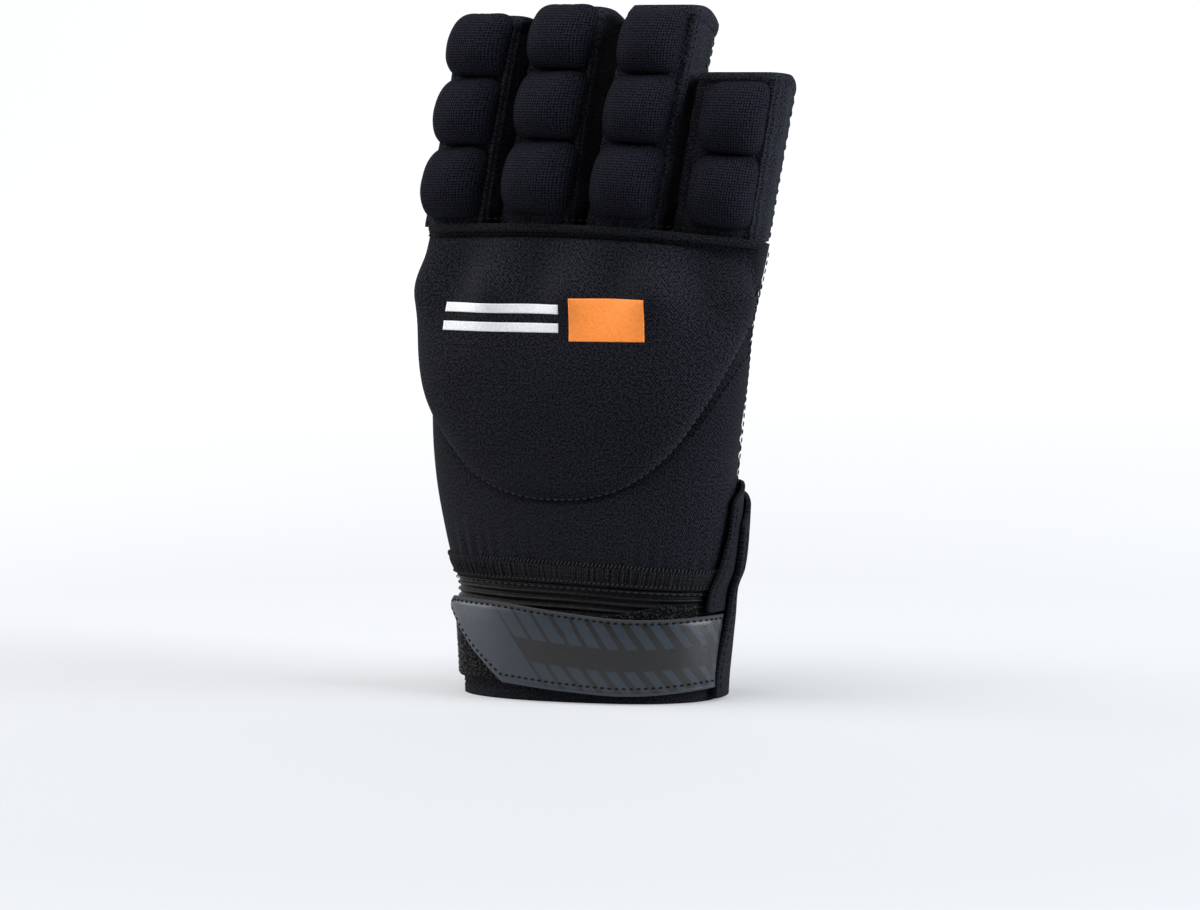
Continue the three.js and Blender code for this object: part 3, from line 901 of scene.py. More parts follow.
WARDROBE = Wardrobe()


# Sewing

def along_path(path: Array, outward: Array, places: Array) -> tuple[Array, Array, Array]:
    """Walk along a line.

    Args:
        path: Points of the line, close together.
        outward: The way out of the cloth at each of them.
        places: Distances along the line, in millimetres.

    Returns:
        The points, the ways out and the ways along at those distances.
    """
    far = np.concatenate([[0], np.cumsum(np.linalg.norm(np.diff(path, axis=0), axis=1))])

    def read(values: Array, at: Array) -> Array:
        """Read values at distances along the line."""
        return np.stack([np.interp(at, far, values[:, k]) for k in range(3)], axis=1)

    step = 0.3
    tangents = read(path, np.clip(places + step, 0, far[-1])) - read(path, np.clip(places - step, 0, far[-1]))
    tangents /= np.linalg.norm(tangents, axis=1, keepdims=True)
    ways = read(outward, places)
    return read(path, places), ways / np.linalg.norm(ways, axis=1, keepdims=True), tangents


def length_of(path: Array) -> float:
    """Measure a line."""
    return float(np.linalg.norm(np.diff(path, axis=0), axis=1).sum())


@dataclass(frozen=True)
class Seam:
    """A row of stitches: its pitch and the size of one stitch, in millimetres."""

    pitch: float = 2.9
    length: float = 2.1
    width: float = 0.55
    height: float = 0.5
    lift: float = 0.12
    lean: float = 0.0

    def sew(self, name: str, path: Array, outward: Array, finish: Plain) -> bpy.types.Object:
        """Sew along a line on the cloth.

        Args:
            name: The row's name.
            path: Points of the line.
            outward: The way out of the cloth at each of them.
            finish: The thread.

        Returns:
            The row of stitches.
        """
        long = length_of(path)
        count = max(2, round(long / self.pitch))
        places, ways, tangents = along_path(path, outward, (np.arange(count) + 0.5) * long / count)
        turn = math.radians(self.lean)
        leaning = tangents * math.cos(turn) + np.cross(ways, tangents) * math.sin(turn)
        shape = BENCH.template(4, 6, (self.length, self.width, self.height))
        obj = BENCH.scatter(name, shape, places + ways * self.lift, leaning, ways)
        return WARDROBE.dress(obj, (finish,))


def tube(name: str, path: Array, outward: Array, half: tuple[float, float], sides: int, rows: int,
         taper: float = 1.2) -> bpy.types.Object:
    """Make a soft round edge or thread along a line.

    Args:
        name: Its name.
        path: Points of its middle line.
        outward: The way out of the cloth at each of them.
        half: Half its width and half its height.
        sides: Its sides.
        rows: Its rings.
        taper: The length of its pointed ends.

    Returns:
        The tube.
    """
    long = length_of(path)

    def surface(u: Array, v: Array) -> Array:
        """Find points on the tube.

        Args:
            u: Places round it, from 0 to 1.
            v: Places along it, from 0 to 1.

        Returns:
            The points.
        """
        places, ways, tangents = along_path(path, outward, v * long)
        end = np.clip(np.minimum(v, 1 - v) * long / taper, 0, 1)
        thin = np.sqrt(np.maximum(1e-4, 1 - (1 - end) ** 2))[:, None]
        side = np.cross(ways, tangents)
        turn = (u * math.tau)[:, None]
        return places + thin * (np.cos(turn) * half[0] * side + np.sin(turn) * half[1] * ways)

    obj = BENCH.sheet(name, (sides, rows), surface, (2 * math.pi * max(half), long), closed=True)
    BENCH.edit("normals_make_consistent", inside=False)
    return obj


def hand_line(angles: Array, heights: Array, out: float) -> tuple[Array, Array]:
    """Give a line on the hand and the ways out of it."""
    line = HAND.point(angles, heights, out)
    return line, HAND.point(angles, heights, out + 1.0) - line


def even(walk: Callable[[Array], Array], low: float, high: float, count: int) -> Array:
    """Space values so that their points lie evenly.

    Args:
        walk: Gives the points for values.
        low: The first value.
        high: The last value.
        count: How many steps lie between them.

    Returns:
        The values.
    """
    fine = np.linspace(low, high, 721)
    far = np.concatenate([[0], np.cumsum(np.linalg.norm(np.diff(walk(fine), axis=0), axis=1))])
    return np.interp(np.linspace(0, far[-1], count + 1), far, fine)


# The hand

@dataclass
class ThumbForm:
    """The thumb's sleeve: a round stall that points up and away from the palm."""

    root: tuple = (-33.0, 6.0, 80.0)
    tip: tuple = (-50.0, 43.0, 125.0)
    radii: tuple[float, float] = (16.5, 14.2)
    wall: float = 2.0
    halvings: int = 24

    def frame(self) -> tuple[Array, Array, Array, Array, float]:
        """Work out how the sleeve lies.

        Returns:
            The root, the way to the tip, two ways across it, and the length.
        """
        root, tip = np.array(self.root), np.array(self.tip)
        long = float(np.linalg.norm(tip - root))
        way = (tip - root) / long
        side = np.cross(way, (0, 0, 1.0))
        side /= np.linalg.norm(side)
        return root, way, side, np.cross(side, way), long

    def radius(self, share: Array) -> Array:
        """Give the radius at a share of the length."""
        return self.radii[0] + (self.radii[1] - self.radii[0]) * share

    def in_bore(self, points: Array) -> Array:
        """Tell which points lie in the thumb's bore.

        Args:
            points: The points, one row each.

        Returns:
            True for each point that does.
        """
        root, way, _, _, long = self.frame()
        along = (points - root) @ way
        off = np.linalg.norm(points - root - along[:, None] * way, axis=1)
        return (off < self.radius(along / long) - self.wall + 0.6) & (along > 0)

    def surface(self, u: Array, v: Array) -> Array:
        """Give the sleeve from the hand's surface to its open end.

        Args:
            u: Places round it, from 0 to 1.
            v: Places up it, from 0 at the hand to 1 at the open end.

        Returns:
            The points.
        """
        root, way, side, other, long = self.frame()
        turn = (u * math.tau)[:, None]
        radial = np.cos(turn) * side + np.sin(turn) * other

        def at(share: Array, out: Array | float = 0.0) -> Array:
            """Find points at shares of the length."""
            return root + (share * long)[:, None] * way + (self.radius(share) + out)[:, None] * radial

        low, high = np.zeros_like(u), np.ones_like(u)
        for _ in range(self.halvings):
            middle = (low + high) / 2
            hidden = HAND.inside(at(middle), 0.2)
            low, high = np.where(hidden, middle, low), np.where(hidden, high, middle)
        share = low + (1 - low) * v
        folds = 0.35 * ripple(u * 12, v * 40, 9.0, 11) * smoothstep(v, 0, 0.3)
        flare = 0.9 * bell(v * 30, 1.6)
        return at(share, folds + flare - 0.6 * bell((1 - v) * 30, 1.2))

    def build(self) -> None:
        """Make the sleeve with its stitched end and foot."""
        sleeve = BENCH.sheet("thumb_sleeve", (80, 44), self.surface, (95, 38), closed=True)
        BENCH.thicken(sleeve, self.wall)
        BENCH.soften(sleeve, 0.6, 0)
        WARDROBE.dress(sleeve, (SIDE_CLOTH,), ("thumb_stall",))
        around = np.linspace(0, 1, 120)
        root, way, _, _, _ = self.frame()
        for name, level in (("thumb_stitches_end", 0.90), ("thumb_stitches_foot", 0.10)):
            line = self.surface(around, np.full(120, level))
            ways = line - root - ((line - root) @ way)[:, None] * way
            Seam(2.7, 1.9).sew(name, line, ways, DARK_THREAD)


THUMB_FORM = ThumbForm()


@dataclass
class KnuckleShield:
    """The foam shield under the cloth of the back, with its stitched outline.

    bump gives the knuckles' height, level, reach and pitch. crease gives where the right side turns in, and
    how much.
    """

    low: float = 66.8
    high: float = 148.6
    half_width: float = 53.4
    lean: tuple[float, float, float] = (-6.0, 0.2, 0.75)
    middle: tuple[float, float] = (-1.0, 112.0)
    rise: float = 8.0
    foot_fade: float = 48.0
    head_fade: float = 20.0
    bump: tuple[float, float, float, float] = (3.1, 134.5, 10.0, 25.3)
    crease: tuple[float, float] = (29.5, 0.26)
    faces: tuple[int, int] = (120, 104)

    def outline(self, turn: Array) -> tuple[Array, Array]:
        """Walk down the right side, under the foot and up the left side.

        Args:
            turn: How far round, from 0 to 180 degrees.

        Returns:
            The places across the hand and the heights.
        """
        down = np.sin(np.radians(turn)).clip(0) ** (2 / 2.6)
        x = self.half_width * signed_power(np.cos(np.radians(turn)), 2 / 2.3)
        across, start, end = self.lean
        return x + across * smoothstep(down, start, end), self.high - down * (self.high - self.low)

    def beyond(self, x: Array, z: Array) -> Array:
        """Measure roughly how far places lie outside the outline.

        Args:
            x: Places across the hand.
            z: Heights.

        Returns:
            The distances in millimetres, negative inside.
        """
        down = np.clip((self.high - z) / (self.high - self.low), 1e-3, None)
        across, start, end = self.lean
        share = np.abs(x - across * smoothstep(down, start, end)) / self.half_width
        steep = np.hypot(2.3 * share ** 1.3 / self.half_width, 2.6 * down ** 1.6 / (self.high - self.low))
        return (share ** 2.3 + down ** 2.6 - 1) / steep

    def spread(self, u: Array, v: Array) -> tuple[Array, Array, Array]:
        """Lay a square over the shield, its sides along the outline and its top along the knuckles.

        Args:
            u: Places across the square, from 0 to 1.
            v: Places up it, from 0 to 1.

        Returns:
            The places across the hand, the heights, and the nearness to the outline, 1 being on it.
        """
        a, b = 2 * u - 1, 2 * v - 1
        near = np.maximum(np.maximum(np.abs(a), np.abs(b)), 1e-9)
        a, b = a / near, b / near
        at_right, at_foot, at_top = a >= 1 - 1e-9, b <= -1 + 1e-9, b >= 1 - 1e-9
        side, foot = 52, 76
        left_or_foot = np.where(at_foot, side + (1 - a) / 2 * foot, side + foot + (b + 1) / 2 * side)
        x, z = self.outline(np.where(at_right, (1 - b) / 2 * side, left_or_foot))
        x, z = np.where(at_top, self.half_width * a, x), np.where(at_top, self.high, z)
        cx, cz = self.middle
        return cx + near * (x - cx), cz + near * (z - cz), near

    def place(self, x: Array, z: Array, near: Array, proud: Array | float = 0.0) -> Array:
        """Find points on the foam's surface.

        Args:
            x: Places across the hand.
            z: Heights.
            near: The nearness to the outline, 1 being on it.
            proud: Distances out from the foam.

        Returns:
            The points.
        """
        fade = smoothstep(z, self.low, self.low + self.foot_fade) ** 0.8
        head = 1 - 0.88 * smoothstep(z, self.high - self.head_fade, self.high)
        sides = np.sqrt(np.maximum(0, 1 - near ** 11))
        height, level, reach, pitch = self.bump
        knuckles = height * np.cos(math.tau * (x - 0.3) / pitch) * bell(z - level, reach)
        drawn = 1 - near ** 26
        slow = 0.25 * ripple(x, z, 24.0, 17)
        past = 2 * np.log1p(np.exp((x - self.crease[0]) / 2))
        turned = self.crease[1] * past * smoothstep(z, 85, 110)
        out = 2.1 * drawn - 0.15 + sides * (self.rise * fade * head + knuckles + slow - turned) + proud
        return HAND.point(HAND.across(x, z), z, out)

    def laid(self, u: Array, v: Array) -> Array:
        """Give the places on the shield's cloth, by the way that they lie round the hand.

        Args:
            u: Places across the cloth, from 0 to 1.
            v: Places up it, from 0 to 1.

        Returns:
            The places in millimetres.
        """
        x, z, _ = self.spread(u, v)
        angles = np.linspace(-180, 0, 200)
        line = HAND.point(angles, np.full(200, 120.0))
        far = np.cumsum(np.linalg.norm(np.diff(line, axis=0, prepend=line[:1]), axis=1))
        return np.stack([np.interp(HAND.across(x, z), angles, far), z], axis=1)

    def build(self) -> None:
        """Make the shield, its stitched outline and the stripes printed on it."""
        pad = BENCH.sheet("back_shield_pad", self.faces, lambda u, v: self.place(*self.spread(u, v)),
                          self.laid)
        BENCH.thicken(pad, 0.7)
        WARDROBE.dress(pad, (JERSEY,), ("back_shield",))
        x, z = self.outline(np.linspace(2, 178, 400))
        line, ways = hand_line(HAND.across(x, z), z, 0.1)
        Seam(2.4, 1.7, 0.6, 0.55).sew("shield_stitches", line, ways, GREY_THREAD)
        x, z = self.outline(np.linspace(6, 44, 160))
        line, ways = hand_line(HAND.across(x + 2.6, z), z, 0.0)
        Seam(2.4, 1.6, 0.6, 0.5).sew("shield_stitches_right", line, ways, DARK_THREAD)
        self.print_block("orange_block", ORANGE_INK, (1.0, 23.5), (117.0, 130.4), (64, 36))
        for number, low in enumerate((119.6, 125.4), start=1):
            self.print_block(f"white_stripe_{number}", WHITE_INK, (-39.5, -2.5), (low, low + 2.9), (90, 8))

    def print_block(self, name: str, finish: Plain, across: tuple[float, float],
                    levels: tuple[float, float], faces: tuple[int, int]) -> None:
        """Print a plain block of ink on the foam.

        Args:
            name: The block's name.
            finish: Its ink.
            across: Where it begins and ends across the hand, in millimetres.
            levels: Where it begins and ends up the hand.
            faces: How many faces it has across and up.
        """

        def surface(u: Array, v: Array) -> Array:
            """Find points on the block's face, just proud of the foam.

            Args:
                u: Places across it, from 0 to 1.
                v: Places up it, from 0 to 1.

            Returns:
                The points.
            """
            x = across[0] + (across[1] - across[0]) * u
            z = levels[0] + (levels[1] - levels[0]) * v
            return self.place(x, z, np.zeros_like(x), 0.12)

        film = BENCH.sheet(name, faces, surface, (across[1] - across[0], levels[1] - levels[0]))
        BENCH.thicken(film, 0.1)
        WARDROBE.dress(film, (finish,))


SHIELD = KnuckleShield()


@dataclass
class HandShell:
    """The neoprene back of the hand and the suede palm, sewn together at the sides."""

    back: tuple[float, float] = (-179.0, 11.0)
    palm: tuple[float, float] = (13.0, 179.5)
    low: float = HEM_TOP + GAP
    wall: float = 2.6
    faces: tuple[int, int] = (180, 116)

    def surface(self, span: tuple[float, float]) -> Surface:
        """Give half of the hand, with the pull of the gathers and slow hollows in it.

        Args:
            span: The angles at which the half begins and ends.

        Returns:
            The surface of that half.
        """
        spaced = even(lambda a: HAND.point(a, np.full_like(a, 100.0)), *span, 200)

        def place(u: Array, v: Array) -> Array:
            """Find points on the cloth.

            Args:
                u: Places across it, from 0 to 1.
                v: Places up it, from 0 to 1.

            Returns:
                The points.
            """
            angle = np.interp(u, np.linspace(0, 1, len(spaced)), spaced)
            z = self.low + (KNUCKLE_SEAM - self.low) * v
            pull = 0.35 * bell(z - self.low, 9.0) * ripple(u * 150, v * 12, 6.0, 3)
            inner = smoothstep(v, 0, 0.2) * smoothstep(1 - v, 0, 0.15)
            slow = 0.5 * ripple(u * 150, v * 105, 45.0, 5) * inner
            edge = -0.7 * bell(np.minimum(u, 1 - u) * 150, 1.6)
            plain = HAND.point(angle, z)
            drawn = -0.9 * bell(SHIELD.beyond(plain[:, 0], z), 1.1) * (plain[:, 1] < 0)
            return HAND.point(angle, z, pull + slow + edge + drawn - 0.4)

        return place

    def build(self) -> None:
        """Make both halves and their side seams."""
        long = KNUCKLE_SEAM - self.low
        back = BENCH.sheet("hand_back_cloth", self.faces, self.surface(self.back), (152, long))
        BENCH.thicken(back, self.wall)
        BENCH.soften(back, 0.5, 0)
        WARDROBE.dress(back, (JERSEY,), ("hand_back",))
        palm = BENCH.sheet("palm_cloth", self.faces, self.surface(self.palm), (128, long))
        BENCH.drop(palm, THUMB_FORM.in_bore)
        BENCH.thicken(palm, self.wall)
        BENCH.soften(palm, 0.5, 0)
        WARDROBE.dress(palm, (SUEDE,), ("palm_panel",))
        heights = np.linspace(self.low + 1, KNUCKLE_SEAM - 3, 80)
        for side, angle in (("little", 7.0), ("thumb", -176.0)):
            line, ways = hand_line(np.full(80, angle), heights, -0.3)
            Seam(2.6, 1.9).sew(f"side_stitches_{side}", line, ways, DARK_THREAD)
        angles = np.linspace(-158, -10, 160)
        for name, level in (("knuckle_stitches_low", -2.4), ("knuckle_stitches_high", 2.5)):
            line, ways = hand_line(angles, np.full(160, KNUCKLE_SEAM), 1.0)
            line[:, 2] += level
            Seam(2.4, 1.7).sew(name, line, ways, DARK_THREAD)
        angles = np.linspace(-156, -12, 200)
        line, ways = hand_line(angles, np.full(200, KNUCKLE_SEAM - 0.3), 1.45)
        welt = tube("knuckle_welt_fold", line, ways, (1.35, 0.6), 16, 150, 2.5)
        WARDROBE.dress(welt, (JERSEY,), ("knuckle_welt",))


# The fingers

# A pad's section. Each row is a place from the crown to the foot, the share of the width that is reached
# there, and the height over the stall.
PILLOW = np.array([
    (0.00, 0.00, 10.3),
    (0.22, 0.27, 10.15),
    (0.42, 0.54, 9.5),
    (0.58, 0.76, 8.3),
    (0.70, 0.90, 6.7),
    (0.79, 0.97, 4.9),
    (0.87, 0.995, 2.9),
    (0.93, 0.985, 1.2),
    (0.97, 0.975, 0.3),
    (1.00, 0.965, -0.3),
])


@dataclass
class FingerStall:
    """One half-finger stall with its sewn edges and its foam pads.

    A ridge is a place in degrees from the seam, a width in degrees and a height. The corners are the powers
    of the pad's squared outline at its left and its right. The falls are how much it rounds over at its foot
    and its head. blown_up to steps are for the swelling of the pads' cloth, and cap is the most that it may
    move. rim is where the rim's stitches run, as a share of the stall's length.
    """

    finger: Finger
    wall: float = 2.0
    faces: tuple[int, int] = (160, 60)
    rim: float = 0.937
    ridges: tuple[tuple[float, float, float], ...] = ((0.0, 5.5, 1.45), (13.0, 5.0, 0.9))
    corners: tuple[float, float] = (3.6, 6.0)
    falls: tuple[float, float] = (0.93, 0.60)
    grid: int = 28
    blown_up: float = 10
    pressure: float = 30.0
    stiffness: float = 3.0
    growth: float = 0.045
    foot: float = 0.9
    steps: int = 20
    cap: float = 0.9

    def sleeve(self, u: Array, v: Array) -> Array:
        """Give the stall's surface, with its soft creases and its drawn-in rim.

        Args:
            u: Places round it, from 0 to 1.
            v: Places up it, from 0 to 1.

        Returns:
            The points.
        """
        angle = np.interp(u, np.linspace(0, 1, len(self.spaced)), self.spaced)
        creases = 0.22 * ripple(u * 90, v * 66, 11.0, len(self.finger.name) + 20)
        down = (1 - v) * 60
        hem = 0.4 * smoothstep(down, 4.4, 3.2) - 0.5 * bell(down - 3.8, 0.7) - 0.7 * bell(down, 0.7)
        seam = self.finger.seam
        for away, width, height in self.ridges:
            for offset in (angle + seam - away, angle + 180 - seam + away):
                creases += height * bell(offset, width) * smoothstep(down, 0, 3)
        return self.finger.point(angle, v, creases + hem)

    def pad(self, number: int, u: Array, v: Array, laid: bool = False) -> Array:
        """Give one pad's surface.

        Args:
            number: Which pad, counted from the knuckle.
            u: Places across, from 0 to 1.
            v: Places up, from 0 to 1.
            laid: Whether the places on the pad's cloth are wanted instead.

        Returns:
            The points, or the places on the cloth.
        """
        finger = self.finger
        middle, half_height = finger.pad_span(number)
        rise = finger.rise_at(middle)
        half_width = finger.mix("pad_width", rise) / 2
        a, b = 2 * u - 1, 2 * v - 1
        near = np.maximum(np.abs(a), np.abs(b))
        turn = np.arctan2(b, a)
        left, right = self.corners
        squares = left + (right - left) * smoothstep(np.cos(turn), -0.4, 0.6)
        reach = (np.abs(np.cos(turn)) ** squares + np.abs(np.sin(turn)) ** squares) ** (-1 / squares)
        _, width, out = hermite(PILLOW, near).T
        across, up = width * reach * np.cos(turn), width * reach * np.sin(turn)
        if laid:
            drape = 1 + 0.35 * near ** 6
            return np.stack([across * half_width * drape, up * half_height * drape], axis=1)
        fall = np.where(up > 0, self.falls[1], self.falls[0])
        round_over = np.sqrt(np.maximum(0.04, 1 - fall * up ** 2)) - 0.26 * np.abs(across) ** 2.6
        soft = 0.14 * ripple(across * 11, up * 11, 7.0, 40 + number) * (1 - near ** 6)
        place = finger.mix("pad_shift", rise) + across * half_width
        return finger.over(place, finger.rise_at(middle + up * half_height), out * round_over + soft)

    def build(self) -> None:
        """Make the stall, its welts, its stitches and its pads."""
        finger = self.finger
        self.spaced = even(lambda a: finger.point(a, np.full_like(a, 0.5)), -180.0, 180.0, 240)
        sleeve = BENCH.sheet(f"{finger.name}_sleeve", self.faces, self.sleeve, (92, 66), closed=True)
        BENCH.thicken(sleeve, self.wall)
        BENCH.soften(sleeve, 0.6, 0)
        WARDROBE.dress(sleeve, (SIDE_CLOTH,), (f"{finger.name}_stall",))
        rise = np.linspace(0.01, 0.99, 90)
        for side, angle in (("right", -finger.seam - 9), ("left", finger.seam - 171)):
            sewn = finger.point(np.full(90, angle), rise, 0.0)
            ways = finger.point(np.full(90, angle), rise, 1.0) - sewn
            Seam(2.3, 1.6, 0.45, 0.4).sew(f"{finger.name}_seam_{side}", sewn, ways, DARK_THREAD)
        angles = even(lambda a: finger.point(a, np.full_like(a, 1.0)), -180.0, 180.0, 160)
        rim = np.full(len(angles), self.rim)
        line = finger.point(angles, rim, -0.35)
        ways = finger.point(angles, rim, 0.65) - line
        Seam(2.5, 1.8, 0.45, 0.4).sew(f"{finger.name}_rim_stitches", line, ways, DARK_THREAD)
        for number in range(len(finger.shares)):
            name = f"{finger.name}_pad_{number + 1}"
            pad = BENCH.sheet(f"{name}_foam", (self.grid, self.grid), partial(self.pad, number),
                              partial(self.pad, number, laid=True))
            self.close(pad)
            self.swell(pad)
            BENCH.soften(pad, 0, 1)
            WARDROBE.dress(pad, (KNIT,), (name,))

    def close(self, pad: bpy.types.Object) -> None:
        """Close a pad's underside.

        Args:
            pad: The pad, open at its foot.
        """
        BENCH.take(pad)
        bpy.ops.object.mode_set(mode="EDIT")
        bpy.ops.mesh.select_all(action="DESELECT")
        bpy.ops.mesh.select_non_manifold(extend=False)
        bpy.ops.mesh.edge_face_add()
        bpy.ops.object.mode_set(mode="OBJECT")

    def swell(self, pad: bpy.types.Object) -> None:
        """Let a pad's cloth swell over its foam, held at its foot, in a cloth simulation.

        The pad is blown up for it, because cloth is reckoned badly at a few millimetres.

        Args:
            pad: The closed pad, whose points still stand in the rows of its grid.
        """
        start = BENCH.spots(pad)
        middle = start.mean(axis=0)
        BENCH.put(pad, (start - middle) * self.blown_up)
        row, column = np.divmod(np.arange(len(start)), self.grid + 1)
        near = np.maximum(np.abs(2 * column / self.grid - 1), np.abs(2 * row / self.grid - 1))
        pad.vertex_groups.new(name="foot").add(np.flatnonzero(near > self.foot).tolist(), 1.0, "REPLACE")
        BENCH.take(pad)
        bpy.ops.object.modifier_add(type="CLOTH")
        cloth = pad.modifiers[-1]
        settings = cloth.settings
        settings.use_pressure = True
        settings.uniform_pressure_force = self.pressure
        settings.vertex_group_mass = "foot"
        settings.effector_weights.gravity = 0
        for way in ("tension", "compression", "shear"):
            setattr(settings, f"{way}_stiffness", self.stiffness)
        settings.bending_stiffness = 0.1
        settings.shrink_min = -self.growth
        cloth.point_cache.frame_start, cloth.point_cache.frame_end = 1, self.steps
        for number in range(1, self.steps + 1):
            bpy.context.scene.frame_set(number)
        bpy.ops.object.modifier_apply(modifier=cloth.name)
        bpy.context.scene.frame_set(1)
        shift = BENCH.spots(pad) / self.blown_up + middle - start
        far = np.linalg.norm(shift, axis=1, keepdims=True) / MM
        BENCH.put(pad, start + shift * np.minimum(1, self.cap / np.maximum(far, 1e-9)))
        LOG.info("%s swelled by up to %.2f mm", pad.name, min(self.cap, far.max()))


# The cuff

@dataclass
class Cuff:
    """The gathered hem, the elastic, the neoprene band and the loop tape round the wrist."""

    gathers: int = 150

    def ring(self, name: str, faces: tuple[int, int], low: float, high: float,
             relief: Surface) -> bpy.types.Object:
        """Make one ring of cloth round the wrist.

        Args:
            name: Its name.
            faces: How many faces it has round and up.
            low: The height of its lower edge.
            high: The height of its upper edge.
            relief: Gives how far it stands out, round and up.

        Returns:
            The ring.
        """
        spaced = even(lambda a: HAND.point(a, np.full_like(a, (low + high) / 2)), -270.0, 90.0, 360)

        def surface(u: Array, v: Array) -> Array:
            """Give points round the wrist and up."""
            angle = np.interp(u, np.linspace(0, 1, len(spaced)), spaced)
            return HAND.point(angle, low + (high - low) * v, relief(u, v))

        return BENCH.sheet(name, faces, surface, (222, high - low), closed=True)

    def pleats(self, u: Array, v: Array) -> Array:
        """Give the small uneven gathers of the hem.

        Args:
            u: Places round it, from 0 to 1.
            v: Places up it, from 0 to 1.

        Returns:
            How far each place stands out.
        """
        turn = math.tau * u
        wander = 2.2 * np.sin(3 * turn + 1) + 1.4 * np.sin(7 * turn + 4) + 0.5 * np.sin(17 * turn)
        fold = np.cos(self.gathers * turn + wander)
        fold = 0.7 * fold + 0.5 * np.cos(0.62 * self.gathers * turn + 5 * np.sin(4 * turn))
        deep = 0.36 + 0.16 * np.sin(5 * turn + 2)
        return (0.15 + 0.55 * np.sin(math.pi * v) ** 0.7) + deep * fold * np.sin(math.pi * v) ** 0.5

    def folds(self, u: Array, v: Array) -> Array:
        """Give the level folds of the elastic."""
        drift = 0.5 * np.sin(math.tau * 2 * u) + 0.3 * np.sin(math.tau * 5 * u + 1)
        return 0.5 * np.sin(math.tau * 3.5 * v + drift) - 0.3

    def swells(self, u: Array, v: Array) -> Array:
        """Give the slow swells of the band and its sewn groove."""
        return 0.12 * ripple(u * 222, v * 29, 30.0, 8) - 0.2 - 0.5 * bell(v * 29 - 3.6, 0.6)

    def build(self) -> None:
        """Make the rings, their stitches and the loops of the tape."""
        hem = self.ring("hem_cloth", (900, 8), ELASTIC_TOP + GAP, HEM_TOP, self.pleats)
        BENCH.thicken(hem, 2.6)
        WARDROBE.dress(hem, (HEM_CLOTH,), ("gathered_hem",))
        elastic = self.ring("elastic_cloth", (220, 22), BAND_TOP + GAP, ELASTIC_TOP, self.folds)
        BENCH.thicken(elastic, 1.8)
        WARDROBE.dress(elastic, (ELASTIC,), ("elastic_band",))
        band = self.ring("wrist_band_cloth", (200, 26), RIM_Z, BAND_TOP, self.swells)
        BENCH.thicken(band, 3.2)
        BENCH.soften(band, 1.1, 0)
        WARDROBE.dress(band, (JERSEY,), ("wrist_band",))
        angles = np.linspace(-270, 90, 700)
        for name, level, out, seam, thread in (
                ("hem_overlock", HEM_TOP + 0.2, 0.35, Seam(1.25, 1.5, 0.42, 0.5, 0.1, 62), GREY_THREAD),
                ("hem_stitches", ELASTIC_TOP + 1.3, 0.75, Seam(1.5, 1.1, 0.45, 0.45, 0.1, 40), GREY_THREAD),
                ("elastic_stitches", ELASTIC_TOP - 0.9, 0.25, Seam(2.4, 1.7, 0.45, 0.4), GREY_THREAD),
                ("band_stitches", RIM_Z + 3.6, -0.55, Seam(2.8, 2.0), DARK_THREAD)):
            line, ways = hand_line(angles, np.full(700, level), out)
            seam.sew(name, line, ways, thread)
        self.tape()

    def tape(self) -> None:
        """Make the loop tape with its standing loops."""
        first, last = -176.0, -26.0

        def edges(angle: Array) -> tuple[Array, Array]:
            """Give the heights of the lower and the upper edge."""
            return 8.2 - 1.4 * smoothstep(angle, -112, -100), 30.6 + 5.5 * smoothstep(angle, -85, -35)

        def surface(u: Array, v: Array) -> Array:
            """Find points on the tape.

            Args:
                u: Places along it, from 0 to 1.
                v: Places up it, from 0 to 1.

            Returns:
                The points.
            """
            angle = first + (last - first) * u
            low, high = edges(angle)
            return HAND.point(angle, low + (high - low) * v, 1.1)

        tape = BENCH.sheet("loop_tape", (130, 30), surface, (118, 26))
        BENCH.thicken(tape, 0.6)
        WARDROBE.dress(tape, (PILE,), ("loop_patch",))
        loop = self.loop()
        rng = np.random.default_rng(4)
        count = 4000
        angles = rng.uniform(first, last, count)
        low, high = edges(angles)
        heights = low + 0.5 + (high - low - 0.9) * rng.uniform(0, 1, count)
        places, ways = hand_line(angles, heights, 1.05)
        tangents = HAND.point(angles + 1, heights) - HAND.point(angles, heights)
        turn = rng.uniform(0, math.pi, count)[:, None]
        level = tangents / np.linalg.norm(tangents, axis=1, keepdims=True)
        along = level * np.cos(turn) + np.array([0, 0, 1.0]) * np.sin(turn)
        lean = ways + rng.normal(0, 0.35, (count, 3))
        loops = BENCH.scatter("tape_loops", loop, places, along, lean, rng.uniform(0.8, 1.2, count))
        WARDROBE.dress(loops, (FIBRE,))

    def loop(self) -> tuple[Array, list]:
        """Model one loop of the tape, the upper half of a ring, and take it off the bench.

        Returns:
            Its points in millimetres and its faces.
        """
        bpy.ops.object.select_all(action="DESELECT")
        bpy.ops.mesh.primitive_torus_add(major_segments=8, minor_segments=3, major_radius=0.36,
                                         minor_radius=0.09, rotation=(math.pi / 2, 0, 0))
        ring = bpy.context.active_object
        bpy.ops.object.transform_apply(rotation=True)
        BENCH.edit("bisect", plane_co=(0, 0, 0), plane_no=(0, 0, 1), clear_inner=True)
        points, faces = BENCH.spots(ring), [tuple(p.vertices) for p in ring.data.polygons]
        bpy.data.objects.remove(ring)
        return points, faces


# The closure

